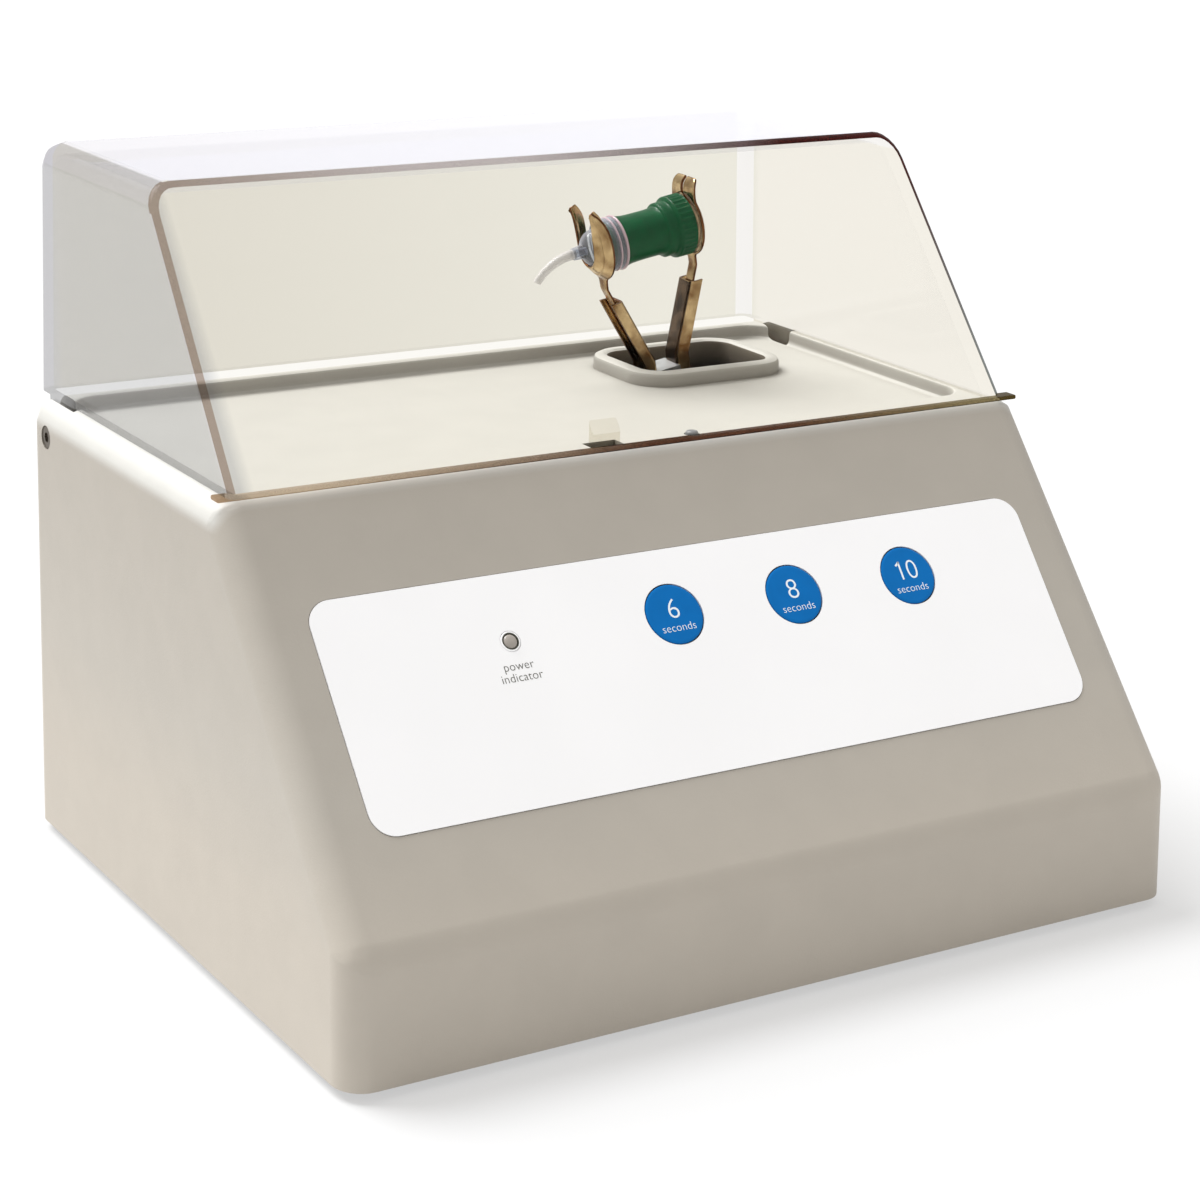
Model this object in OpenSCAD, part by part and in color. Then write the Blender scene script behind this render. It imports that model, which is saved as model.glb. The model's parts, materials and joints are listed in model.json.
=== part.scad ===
// Bench mixer for dental capsules: a wedge-shaped housing with a tray on its deck, a hinged
// clear cover, and a spring fork that a motor shakes while it holds one capsule by its ends.
// X runs to the right, Y to the back and Z up, with the feet standing on Z = 0.

/* [Housing] */
// Width of the housing at its lower edge
base_w = 230; // [215:1:280]
// Depth of the housing
body_d = 184.5; // [180:0.5:225]
// Height of the deck above the housing's lower edge
deck_h = 113; // [112:1:140]
// Height of the crease where the front starts to slope
crease_h = 30; // [20:1:38]
// How far the crease lies behind the lower front edge
crease_in = 1.3; // [0:0.1:4]
// Distance from the lower front edge to the front of the deck
deck_front = 70; // [60:1:74]
// How much narrower the deck is than the lower edge
deck_draft = 4; // [0:0.5:6]
// Wall thickness of the housing
wall = 3; // [2.4:0.1:3.6]
// Radius of the deck's and the crease's edges
edge_r = 6; // [4:0.5:7]
// Radius of the upright corners
corner_r = 8; // [6:0.5:10]

/* [Tray and collar] */
// Half the width of the tray
tray_half_w = 106; // [100:0.5:106]
// Front edge of the tray, from the lower front edge
tray_front = 82; // [80:1:88]
// Rear edge of the tray, from the lower front edge
tray_rear = 177; // [174:0.5:177]
// Depth of the tray
tray_deep = 4; // [3:0.5:5]
// Corner radius of the tray
tray_r = 10; // [6:1:14]
// Width of the opening for the fork
opening_w = 39; // [38:0.5:44]
// Depth of the opening for the fork
opening_d = 27; // [24:0.5:30]
// Width of the raised collar round the opening
collar_w = 4; // [3:0.5:5]

/* [Cover] */
// Width of the cover at its lower edge
cover_w = 217; // [216:0.5:218]
// How much narrower the cover is at its top
cover_draft = 4; // [0:0.5:6]
// Height of the cover above the deck
cover_h = 63; // [60:0.5:76]
// Wall thickness of the cover
cover_wall = 3; // [2.4:0.1:3]
// Edge radius of the cover
cover_r = 5; // [4:0.5:6]
// How far the cover's top starts behind its lower front edge
cover_rake = 50; // [42:0.5:52]
// How far the cover's rear wall overhangs the housing
cover_overhang = 4.5; // [4.5:0.1:6]
// Distance of the hinge line in front of the housing's rear
hinge_from_rear = 12; // [11:0.5:12]
// Distance of the hinge line below the deck
hinge_below_deck = 8.5; // [8:0.5:9.5]
// Radius of the hinge pins
hinge_pin_r = 2; // [1.5:0.1:2.5]

/* [Panel] */
// Width of the white panel
panel_w = 198; // [180:1:200]
// Height of the white panel along the slope
panel_h = 56; // [54:0.5:58]
// Distance from the crease to the panel's lower edge, along the slope
panel_up = 25.5; // [24:0.5:28]
// Corner radius of the panel
panel_r = 6; // [4:0.5:9]
// Thickness of the panel
panel_t = 0.5; // [0.4:0.1:0.7]
// Radius of the buttons
button_r = 7.5; // [6:0.1:8.5]
// Spacing of the buttons
button_pitch = 34; // [30:0.5:36]
// Place of the middle button, to the right of the centre
button_x = 25.6; // [20:0.1:30]
// Distance from the crease to the buttons, along the slope
button_up = 65; // [60:0.5:66]
// Travel of the buttons
button_travel = 0.5; // [0.3:0.1:0.6]
// Place of the power lamp, to the left of the centre
lamp_x = 52.4; // [45:0.1:60]
// Radius of the power lamp
lamp_r = 1.8; // [1.5:0.1:2.5]

/* [Motor] */
// Distance of the shaft's line below the deck
shaft_below_deck = 43; // [41:0.5:45]
// Radius of the shaft
shaft_r = 3; // [2.5:0.1:3.2]
// Radius of the motor
motor_r = 27; // [24:0.5:28]
// Length of the motor's can
motor_len = 60; // [50:1:64]
// Distance from the hub's centre back to the motor's can
motor_gap = 37.5; // [34:0.5:42]

/* [Fork] */
// Place of the hub and the opening, to the right of the centre
hub_x = 63.5; // [61:0.5:63.5]
// Place of the hub in front of the housing's rear
hub_from_rear = 33; // [32:0.5:35]
// Tilt of the journal against the shaft
journal_tilt = 11.5; // [9:0.1:11.5]
// Phase of the journal's tilt at rest, from upright towards the front
journal_phase = 20; // [0:1:40]
// Radius of the journal
journal_r = 6; // [5.8:0.1:6.2]
// Width of the bearing
bearing_w = 8; // [7:0.5:8]
// Distance from the shaft's line to the middle of the capsule
capsule_up = 78.4; // [76:0.2:79]
// Distance from the middle of the capsule to the inside of a fork head
head_at = 13.2; // [13.2:0.1:13.6]
// Thickness of the fork's spring steel
spring_t = 0.8; // [0.6:0.1:0.9]
// Radius of a fork head
head_r = 9; // [8.5:0.1:9.5]

/* [Capsule] */
// Radius of the capsule's barrel at its wide end
barrel_r = 7; // [6.5:0.1:7.2]
// Radius of the capsule's knurled end
grip_r = 8.4; // [7.6:0.1:8.5]
// Radius of the capsule's clear dome
dome_r = 5.2; // [4.6:0.1:5.3]
// Radius of the capsule's nozzle
nozzle_r = 1.25; // [1:0.05:1.6]

/* [Feet] */
// Height of the rubber feet
foot_h = 2.5; // [2:0.5:6]
// Radius of the rubber feet
foot_r = 8; // [6:0.5:9]

/* [Hidden] */
$fn = 48;

// Gaps between pieces that move against each other, and between pieces that only pass
run_gap = 0.06;
pass_gap = 0.3;
fit_gap = 0.02;

// Derived places
overall_d = body_d + cover_overhang;
shaft_h = deck_h - shaft_below_deck;
slope_tilt = atan((deck_front - crease_in) / (deck_h - crease_h));
tray_floor = deck_h - tray_deep;
hub_y = body_d - hub_from_rear;
hub = [hub_x, hub_y, shaft_h];
opening_r = 6;
collar_down = 8;
hinge_y = body_d - hinge_from_rear;
hinge_z = deck_h - hinge_below_deck;
ear_r = 8.5;
ear_in = cover_w / 2 - cover_wall;
slot_gap = 0.6;
boss_r = 4.5;
screw_r = 1.6;
plate_t = 1.5;
boss_x = base_w / 2 - 12;
boss_y = [14, body_d - 14];
foot_x = base_w / 2 - 23;
foot_y = [24, body_d - 24];
panel_sunk = 0.3;
board_z = -13.5;
board_t = 1.6;
board_x = [-78, 78];
board_up = [42, 92];
board_boss_x = [-72, 72];
board_boss_up = [47, 87];
stem_r = 2.4;
button_t = 1;
button_proud = 0.3;
switch_h = 3.5;
lamp_up = button_up;
lamp_hole_r = lamp_r + 0.8;
button_low = button_proud - button_t;
stem_low = board_z + switch_h + button_travel + pass_gap;
motor_x1 = hub_x - motor_gap;
motor_x0 = motor_x1 - motor_len;
end_t = 3;
can_t = 1.8;
rotor_r = 15;
bearing_bore_r = journal_r + fit_gap;
race_in_r = journal_r + 2.3;
ball_pitch_r = journal_r + 4;
race_out_r = journal_r + 5.7;
bearing_r = journal_r + 8;
ball_r = 2.3;
ball_count = 8;
carrier_r = bearing_r + 3;
neck_half = 3.4;
neck_top = 41.5;
leg_low = 20;
leg_bend = 44;
leg_top = 63;
leg_splay = tan(21);
leg_deep = 3.4;
leg_half_w = 3.4;
leg_screw_up = [26, 37];
leg_web_t = spring_t / cos(21);
blade_half_w = 2.1;
blade_at = neck_half + leg_web_t + pass_gap;
blade_low = 42;
inlet_x = -82;
rocker_x = -44;
rear_z = 30;
fuse_z = rear_z + 24;
fuse_r = 6.1;
inlet_half = [13.5, 9.9];
inlet_screw_x = 20;
rocker_half = [9.6, 6.6];
vent_w = 3;
vent_h = 36;
vent_pitch = 8;
plunger_at = [17, tray_front - wall - 2.5];
plunger_r = 1.6;
catch_x = -7.6;
catch_half = 3.9;
catch_y = [deck_front + 6, deck_front + 8.4];
mount_x = [motor_x0 + 7, motor_x1 - 7];
mount_y = [hub_y - 21, hub_y + 21];
cradle_z = 8;
cradle_t = 2;
strap_x = [motor_x0 + 9, motor_x1 - 9];
strap_w = 6;

// Helpers

// Moves a piece from the housing's lower front edge to the origin of the whole object
module place() {
    translate([0, -overall_d / 2, foot_h]) children();
}

// Turns a piece from the plane of the sloping front, with its normal along Z, into its place
module on_slope() {
    translate([0, crease_in, crease_h]) rotate([90 - slope_tilt, 0, 0]) children();
}

// Turns a piece whose shaft line is X, with the hub's centre at the origin, into its place
module at_hub() {
    translate(hub) children();
}

// Tilts a piece with the journal, without turning it about the journal
module on_journal() {
    at_hub() rotate(a = journal_tilt, v = [0, -cos(journal_phase), -sin(journal_phase)]) children();
}

module rod_x(x0, x1, r) {
    translate([x0, 0, 0]) rotate([0, 90, 0]) cylinder(r = r, h = x1 - x0);
}

module ring_x(x0, x1, r0, r1) {
    difference() {
        rod_x(x0, x1, r1);
        rod_x(x0 - 1, x1 + 1, r0);
    }
}

// A cylinder along Y, seen from behind
module rod_y(y0, y1, r) {
    translate([0, y0, 0]) rotate([-90, 0, 0]) cylinder(r = r, h = y1 - y0);
}

module block(low, high) {
    translate(low) cube(high - low);
}

// A block with round upright corners
module rounded_block(low, high, r) {
    block([low[0] + r, low[1], low[2]], [high[0] - r, high[1], high[2]]);
    block([low[0], low[1] + r, low[2]], [high[0], high[1] - r, high[2]]);
    for (x = [low[0] + r, high[0] - r], y = [low[1] + r, high[1] - r])
        translate([x, y, low[2]]) cylinder(r = r, h = high[2] - low[2]);
}

function unit(v) = v / norm(v);
function left_normal(a, b) = let (d = unit(b - a)) [-d[1], d[0]];

// Centre of the circle that rounds the corner b of a polygon
function round_centre(a, b, c, r) =
    let (m = left_normal(a, b), n = left_normal(b, c)) b + (m + n) * r / (1 + m * n);

// Housing

body_side = [[0, 0], [body_d, 0], [body_d, deck_h], [deck_front, deck_h], [crease_in, crease_h]];

function body_width(z) = base_w - deck_draft * z / deck_h;

// The housing's rounded form, drawn in all round by a wall
module body_form(shrink, low) {
    hull() {
        for (side = [-1, 1], y = [corner_r, body_d - corner_r])
            translate([side * (base_w / 2 - corner_r), y, low])
                cylinder(r = corner_r - shrink, h = 1, $fn = 32);
        for (side = [-1, 1], i = [2 : 4]) {
            c = round_centre(body_side[i - 1], body_side[i], body_side[(i + 1) % 5], edge_r);
            translate([side * (body_width(c[1]) / 2 - edge_r), c[0], c[1]])
                sphere(r = edge_r - shrink, $fn = 32);
        }
    }
}

module opening_block(grow, low, high) {
    rounded_block(
        [hub_x - opening_w / 2 - grow, hub_y - opening_d / 2 - grow, low],
        [hub_x + opening_w / 2 + grow, hub_y + opening_d / 2 + grow, high],
        opening_r + grow
    );
}

module panel_block(shrink, low, high) {
    rounded_block(
        [-panel_w / 2 + shrink, panel_up + shrink, low],
        [panel_w / 2 - shrink, panel_up + panel_h - shrink, high],
        panel_r - shrink
    );
}

module at_buttons() {
    for (i = [-1 : 1]) at_button(i) children();
}

module at_button(i) {
    translate([button_x + i * button_pitch, button_up, 0]) children();
}

module at_lamp() {
    translate([-lamp_x, lamp_up, 0]) children();
}

// Bosses behind the sloping front that carry the control board
module board_bosses() {
    for (x = board_boss_x, y = board_boss_up)
        translate([x, y, board_z]) cylinder(r = 3.5, h = -board_z - wall / 2);
}

module board_pilots() {
    for (x = board_boss_x, y = board_boss_up)
        translate([x, y, board_z - 1]) cylinder(r = 1.25, h = 10);
}

module base_bosses() {
    for (side = [-1, 1], y = boss_y) {
        translate([side * boss_x, y, plate_t]) cylinder(r = boss_r, h = 26);
        block_between(side * boss_x, side * (base_w / 2 - wall / 2), y - 1, y + 1, plate_t, 26);
    }
}

module block_between(x0, x1, y0, y1, z0, z1) {
    block([min(x0, x1), y0, z0], [max(x0, x1), y1, z1]);
}

// Blocks below the deck that hold the hinge pins on both sides of the cover's ears
module hinge_blocks() {
    for (side = [-1, 1])
        block_between(
            side * (ear_in - 5), side * (body_width(hinge_z) / 2 - wall / 2),
            hinge_y - 10, body_d - wall / 2, hinge_z - 10, deck_h - wall / 2
        );
}

// Slots for the cover's ears, open to the rear
module ear_slots() {
    for (side = [-1, 1])
        block_between(
            side * (ear_in - slot_gap), side * (cover_w / 2 + slot_gap),
            hinge_y - ear_r - slot_gap, body_d + 1, hinge_z - 14, deck_h + 1
        );
}

module hinge_holes() {
    for (side = [-1, 1]) {
        edge = body_width(hinge_z) / 2;
        translate([0, hinge_y, hinge_z]) mirror([side < 0 ? 1 : 0, 0, 0]) {
            rod_x(ear_in - 6, edge + 1, hinge_pin_r + fit_gap);
            rod_x(edge - 1.2, edge + 2, hinge_pin_r + 1 + fit_gap);
        }
    }
}

module rear_cutouts() {
    translate([0, body_d - wall - 1, 0]) {
        rear_window(inlet_x, inlet_half + [pass_gap, pass_gap]);
        rear_window(rocker_x, rocker_half + [0.1, 0.1]);
    }
    translate([inlet_x, 0, fuse_z]) rod_y(body_d - wall - 1, body_d + 1, fuse_r + 0.1);
    for (side = [-1, 1])
        translate([inlet_x + side * inlet_screw_x, 0, rear_z])
            rod_y(body_d - wall - 1, body_d + 1, 1.55);
    for (i = [0 : 8])
        translate([20 + i * vent_pitch, body_d - wall - 1, 24]) cube([vent_w, wall + 2, vent_h]);
}

// A rectangular hole in the rear wall, from half its width and half its height
module rear_window(x, half) {
    translate([x - half[0], 0, rear_z - half[1]]) cube([2 * half[0], wall + 2, 2 * half[1]]);
}

module housing() {
    color([0.72, 0.68, 0.63]) place() difference() {
        union() {
            difference() {
                body_form(0, 0);
                body_form(wall, -1.5);
            }
            intersection() {
                body_form(0.5, 0);
                union() {
                    rounded_block(
                        [-tray_half_w - wall, tray_front - wall, tray_floor - wall],
                        [tray_half_w + wall, tray_rear + wall, deck_h], tray_r
                    );
                    hinge_blocks();
                    base_bosses();
                    on_slope() board_bosses();
                }
            }
            opening_block(collar_w, tray_floor - collar_down, deck_h - 0.1);
        }
        difference() {
            rounded_block(
                [-tray_half_w, tray_front, tray_floor], [tray_half_w, tray_rear, deck_h + 1], tray_r
            );
            opening_block(collar_w, 0, deck_h + 2);
        }
        opening_block(0, 0, deck_h + 1);
        ear_slots();
        hinge_holes();
        rear_cutouts();
        translate([plunger_at[0], plunger_at[1], tray_floor - 5])
            cylinder(r = plunger_r + 0.35, h = 12);
        block(
            [catch_x - catch_half - 0.7, deck_front + 5, tray_floor - 5],
            [catch_x + catch_half + 0.7, deck_front + 10, deck_h + 1]
        );
        for (side = [-1, 1], y = boss_y)
            translate([side * boss_x, y, -1]) cylinder(r = screw_r + 0.05, h = 16);
        on_slope() {
            panel_block(-0.2, -panel_sunk, 5);
            at_buttons() {
                translate([0, 0, button_low - button_travel - pass_gap])
                    cylinder(r = button_r + pass_gap, h = 5);
                translate([0, 0, -wall - 2]) cylinder(r = stem_r + pass_gap, h = 6);
            }
            at_lamp() translate([0, 0, -wall - 2]) cylinder(r = lamp_hole_r, h = 6);
            board_pilots();
        }
    }
}

module base_plate() {
    inset = wall + 0.6;
    color([0.62, 0.63, 0.65]) place() difference() {
        rounded_block(
            [-base_w / 2 + inset, inset, 0], [base_w / 2 - inset, body_d - inset, plate_t],
            corner_r - wall
        );
        for (side = [-1, 1], y = boss_y)
            translate([side * boss_x, y, -1]) cylinder(r = screw_r + 0.3, h = 4);
        for (side = [-1, 1], y = foot_y)
            translate([side * foot_x, y, -1]) cylinder(r = 3, h = 4);
        for (x = mount_x, y = mount_y)
            translate([x, y, -1]) cylinder(r = 2.02, h = 4);
        for (i = [0 : 9])
            translate([-60 + i * vent_pitch, 30, -1]) cube([vent_w, vent_h - 2, 4]);
    }
}

module rubber_feet() {
    color([0.12, 0.12, 0.12]) place()
        for (side = [-1, 1], y = foot_y)
            translate([side * foot_x, y, 0]) {
                translate([0, 0, -foot_h]) cylinder(r1 = foot_r - 0.8, r2 = foot_r, h = foot_h);
                cylinder(r = 2.95, h = plate_t);
                translate([0, 0, plate_t]) cylinder(r1 = 3.8, r2 = 2.6, h = 2.4);
            }
}

module base_screws() {
    color("silver") place()
        for (side = [-1, 1], y = boss_y)
            translate([side * boss_x, y, 0]) {
                translate([0, 0, -1.4]) cylinder(r = 3.1, h = 1.4);
                cylinder(r = screw_r, h = 13);
            }
}

// Panel, buttons and lamp

module panel_overlay() {
    color([0.96, 0.96, 0.97]) place() on_slope() difference() {
        panel_block(0, -panel_sunk, panel_t - panel_sunk);
        at_buttons() translate([0, 0, -2]) cylinder(r = button_r + pass_gap, h = 4);
        at_lamp() translate([0, 0, -2]) cylinder(r = lamp_hole_r, h = 4);
    }
}

module button(i) {
    color([0.05, 0.4, 0.7]) place() on_slope() at_button(i) {
        translate([0, 0, button_low]) cylinder(r = button_r, h = button_t);
        translate([0, 0, stem_low]) cylinder(r = stem_r, h = button_low - stem_low);
    }
}

module button_6() {
    button(-1);
}

module button_8() {
    button(0);
}

module button_10() {
    button(1);
}

module lamp_lens() {
    color([0.6, 0.62, 0.6]) place() on_slope() at_lamp() {
        translate([0, 0, board_z]) cylinder(r = lamp_r - 0.05, h = -board_z);
        intersection() {
            translate([0, 0, -lamp_r + 0.6]) sphere(r = lamp_r + 0.05);
            cylinder(r = lamp_r - 0.05, h = 2);
        }
    }
}

module lamp_bezel() {
    color([0.25, 0.25, 0.25]) place() on_slope() at_lamp() difference() {
        translate([0, 0, -2]) cylinder(r = lamp_hole_r - 0.05, h = 2.35);
        translate([0, 0, -3]) cylinder(r = lamp_r, h = 5);
    }
}

module control_board() {
    color([0.1, 0.35, 0.2]) place() on_slope() difference() {
        block([board_x[0], board_up[0], board_z - board_t], [board_x[1], board_up[1], board_z]);
        for (x = board_boss_x, y = board_boss_up)
            translate([x, y, board_z - board_t - 1]) cylinder(r = 1.6, h = 4);
    }
}

module button_switches() {
    color([0.2, 0.2, 0.22]) place() on_slope() at_buttons() {
        block([-3, -3, board_z], [3, 3, board_z + switch_h - 1]);
        translate([0, 0, board_z + switch_h - 1]) cylinder(r = 1.7, h = 1);
    }
}

module board_screws() {
    color("silver") place() on_slope()
        for (x = board_boss_x, y = board_boss_up)
            translate([x, y, board_z - board_t]) {
                translate([0, 0, -1.8]) cylinder(r = 2.6, h = 1.8);
                cylinder(r = 1.2, h = 9);
            }
}

// Capacitor, relay, transformer and heat sink on the back of the board
module board_parts() {
    back = board_z - board_t;
    color([0.3, 0.32, 0.4]) place() on_slope() {
        translate([-55, 78, back - 16]) cylinder(r = 6, h = 16);
        block([-36, 56, back - 15], [-18, 70, back]);
        block([-10, 54, back - 22], [22, 84, back]);
        difference() {
            block([34, 52, back - 20], [62, 80, back]);
            for (i = [0 : 4]) block([36.5 + i * 5, 51, back - 21], [39 + i * 5, 81, back - 3]);
        }
    }
}

// Rear panel

module power_inlet() {
    color([0.1, 0.1, 0.1]) place() translate([inlet_x, body_d, rear_z]) difference() {
        union() {
            block([-25, 0, -11.5], [25, 2, 11.5]);
            block([-inlet_half[0], -22, -inlet_half[1]], [inlet_half[0], 1, inlet_half[1]]);
        }
        block([-12, -15, -8.3], [12, 3, 8.3]);
        for (side = [-1, 1]) translate([side * inlet_screw_x, 0, 0]) rod_y(-1, 3, 1.7);
        for (i = [-1 : 1]) translate([i * 7, -23, i == 0 ? 2 : -2]) blade_slot(0.05);
    }
}

module blade_slot(grow) {
    translate([-1 - grow, 0, -2 - grow]) cube([2 + 2 * grow, 10, 4 + 2 * grow]);
}

module inlet_blades() {
    color([0.85, 0.8, 0.6]) place() translate([inlet_x, body_d, rear_z])
        for (i = [-1 : 1])
            translate([i * 7 - 1, -26, (i == 0 ? 2 : -2) - 2]) cube([2, 22, 4]);
}

module inlet_screws() {
    color("silver") place() translate([inlet_x, body_d, rear_z])
        for (side = [-1, 1]) translate([side * inlet_screw_x, 0, 0]) {
            rod_y(2, 3.6, 2.7);
            rod_y(-7, 2.5, 1.5);
        }
}

module fuse_holder() {
    color([0.12, 0.12, 0.13]) place() translate([inlet_x, body_d, fuse_z]) {
        rod_y(0, 1.8, 8);
        rod_y(-28, 0.5, fuse_r);
        rod_y(1.5, 4, 5.4);
    }
}

module rocker_bezel() {
    color([0.1, 0.1, 0.1]) place() translate([rocker_x, body_d, rear_z]) difference() {
        union() {
            block([-12, 0, -9], [12, 1.8, 9]);
            block([-rocker_half[0], -16, -rocker_half[1]], [rocker_half[0], 1, rocker_half[1]]);
        }
        block([-8.5, -8, -5.7], [8.5, 3, 5.7]);
        rod_x(-9.1, 9.1, 1.2 + run_gap);
    }
}

module power_rocker() {
    color([0.16, 0.16, 0.17]) place() translate([rocker_x, body_d, rear_z]) rotate([8, 0, 0]) {
        rod_x(-8.9, 8.9, 1.2);
        difference() {
            block([-8.1, -3, -5.1], [8.1, 3.2, 5.1]);
            translate([0, 46.6, 0]) rod_x(-9, 9, 44);
        }
    }
}

// Motor, whose line is X through the hub

module motor_can() {
    color([0.55, 0.57, 0.6]) place() translate([0, hub_y, shaft_h])
        ring_x(motor_x0, motor_x1, motor_r - can_t, motor_r);
}

module stator_core() {
    color([0.4, 0.4, 0.43]) place() translate([0, hub_y, shaft_h])
        ring_x(motor_x0 + 12, motor_x1 - 10, rotor_r + 0.3, motor_r - can_t);
}

module stator_windings() {
    color([0.72, 0.4, 0.2]) place() translate([0, hub_y, shaft_h]) {
        ring_x(motor_x0 + 5, motor_x0 + 12, rotor_r + 1.5, motor_r - can_t - 2);
        ring_x(motor_x1 - 10, motor_x1 - 3, rotor_r + 1.5, motor_r - can_t - 2);
    }
}

module motor_end() {
    difference() {
        union() {
            rod_x(0, end_t, motor_r);
            rod_x(0, end_t + 6, 9);
        }
        rod_x(-1, end_t + 7, 6);
        for (a = [45 : 90 : 315]) rotate([a, 0, 0]) translate([0, 17, 0]) rod_x(-1, end_t + 1, 3.5);
    }
}

module motor_front_end() {
    color([0.66, 0.67, 0.7]) place() translate([motor_x1, hub_y, shaft_h]) motor_end();
}

module motor_rear_end() {
    color([0.66, 0.67, 0.7]) place() translate([motor_x0, hub_y, shaft_h]) mirror([1, 0, 0]) motor_end();
}

module shaft_bushes() {
    color([0.75, 0.6, 0.35]) place() translate([0, hub_y, shaft_h]) {
        ring_x(motor_x1, motor_x1 + end_t + 6, shaft_r + run_gap, 6);
        ring_x(motor_x0 - end_t - 6, motor_x0, shaft_r + run_gap, 6);
    }
}

module motor_shaft() {
    color([0.75, 0.76, 0.78]) place() at_hub()
        rod_x(motor_x0 - hub_x - end_t - 16, 7.5, shaft_r);
}

module rotor_core() {
    color([0.35, 0.35, 0.38]) place() translate([0, hub_y, shaft_h])
        ring_x(motor_x0 + 12, motor_x1 - 10, shaft_r + fit_gap, rotor_r);
}

module cooling_fan() {
    color([0.15, 0.15, 0.16]) place() translate([motor_x0 - end_t - 14, hub_y, shaft_h]) {
        ring_x(0, 6, shaft_r + fit_gap, 7);
        ring_x(0, 1.2, 6.5, 22);
        for (a = [0 : 45 : 315]) rotate([a, 0, 0]) block([1, 6.5, -0.6], [6, 21.5, 0.6]);
    }
}

module motor_cradle() {
    color([0.6, 0.62, 0.64]) place() difference() {
        union() {
            rounded_block(
                [motor_x0 + 1, mount_y[0] - 5.5, cradle_z],
                [motor_x1 - 1, mount_y[1] + 5.5, cradle_z + cradle_t], 3
            );
            for (x = strap_x)
                block(
                    [x - strap_w / 2, hub_y - 15, cradle_z + 1],
                    [x + strap_w / 2, hub_y + 15, shaft_h - 20]
                );
        }
        translate([0, hub_y, shaft_h]) rod_x(motor_x0 - 1, motor_x1 + 1, motor_r + fit_gap);
        for (x = mount_x, y = mount_y) translate([x, y, cradle_z - 1]) cylinder(r = 2.1, h = 5);
    }
}

// Bands round the can that end on the sides of the cradle's uprights
module motor_straps() {
    color([0.7, 0.71, 0.73]) place() translate([0, hub_y, shaft_h])
        for (x = strap_x) difference() {
            union() {
                rod_x(x - strap_w / 2, x + strap_w / 2, motor_r + 1.2);
                block([x - strap_w / 2, -16.2, -40], [x + strap_w / 2, 16.2, -20]);
            }
            rod_x(x - strap_w, x + strap_w, motor_r + fit_gap);
            block([x - strap_w, -15, -50], [x + strap_w, 15, -18]);
        }
}

module rubber_mounts() {
    color([0.1, 0.1, 0.1]) place()
        for (x = mount_x, y = mount_y) translate([x, y, plate_t]) difference() {
            cylinder(r = 5, h = cradle_z - plate_t);
            translate([0, 0, -1]) cylinder(r = 2.1, h = cradle_z + 2);
        }
}

module mount_screws() {
    color("silver") place()
        for (x = mount_x, y = mount_y) translate([x, y, 0]) {
            translate([0, 0, cradle_z + cradle_t]) cylinder(r = 3.6, h = 2.4);
            cylinder(r = 2, h = cradle_z + cradle_t + 1);
        }
}

// Inclined hub and bearing

module inclined_hub() {
    color([0.7, 0.7, 0.72]) place() difference() {
        union() {
            at_hub() rod_x(-14, -7.2, 8);
            on_journal() {
                rod_x(-8.5, -bearing_w / 2, journal_r + 1.6);
                rod_x(-bearing_w / 2 - 1, bearing_w / 2 + 2, journal_r);
            }
        }
        at_hub() {
            rod_x(-20, 20, shaft_r + fit_gap);
            translate([-11, 0, 0]) cylinder(r = 1.5 + fit_gap, h = 12);
        }
        on_journal() ring_x(bearing_w / 2, bearing_w / 2 + 0.9, journal_r - 0.6, journal_r + 1);
    }
}

module hub_set_screw() {
    color([0.25, 0.25, 0.27]) place() at_hub()
        translate([-11, 0, shaft_r + 0.1]) cylinder(r = 1.5, h = 4.6);
}

module journal_clip() {
    color([0.3, 0.3, 0.32]) place() on_journal()
        ring_x(bearing_w / 2 + 0.05, bearing_w / 2 + 0.85, journal_r - 0.55, journal_r + 1.4);
}

// The round track that the balls run in
module ball_track() {
    rotate([0, 90, 0]) rotate_extrude() translate([ball_pitch_r, 0]) circle(r = ball_r + 0.08);
}

module bearing_inner_ring() {
    color([0.8, 0.8, 0.82]) place() on_journal() difference() {
        ring_x(-bearing_w / 2, bearing_w / 2, bearing_bore_r, race_in_r);
        ball_track();
    }
}

module bearing_outer_ring() {
    color([0.8, 0.8, 0.82]) place() on_journal() difference() {
        ring_x(-bearing_w / 2, bearing_w / 2, race_out_r, bearing_r);
        ball_track();
    }
}

module bearing_balls() {
    color([0.85, 0.85, 0.87]) place() on_journal()
        for (i = [0 : ball_count - 1])
            rotate([i * 360 / ball_count, 0, 0]) translate([0, ball_pitch_r, 0]) sphere(r = ball_r);
}

// Arm that rides on the bearing, with X across, Y back and Z towards the capsule

module arm_carrier() {
    color([0.78, 0.79, 0.8]) place() on_journal() difference() {
        union() {
            rod_x(-bearing_w / 2 - 0.5, bearing_w / 2 + 0.5, carrier_r);
            block([-neck_half, -4.5, carrier_r - 3], [neck_half, 4.5, neck_top]);
        }
        rod_x(-bearing_w / 2, bearing_w / 2 + 1, bearing_r + fit_gap);
        rod_x(-bearing_w, bearing_w, bearing_r - 1.6);
        for (z = leg_screw_up) translate([0, 0, z]) rod_x(-10, 10, 1.05);
    }
}

// Side outline of a channel leg, as wide as deep
function leg_outline(deep) = [
    [neck_half, leg_low], [neck_half + deep, leg_low], [neck_half + deep, leg_bend],
    [neck_half + deep + (leg_top - leg_bend) * leg_splay, leg_top],
    [neck_half + (leg_top - leg_bend) * leg_splay, leg_top], [neck_half, leg_bend]
];

module extrude_across(half_low, half_high) {
    translate([0, half_high, 0]) rotate([90, 0, 0]) linear_extrude(half_high - half_low) children();
}

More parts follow.
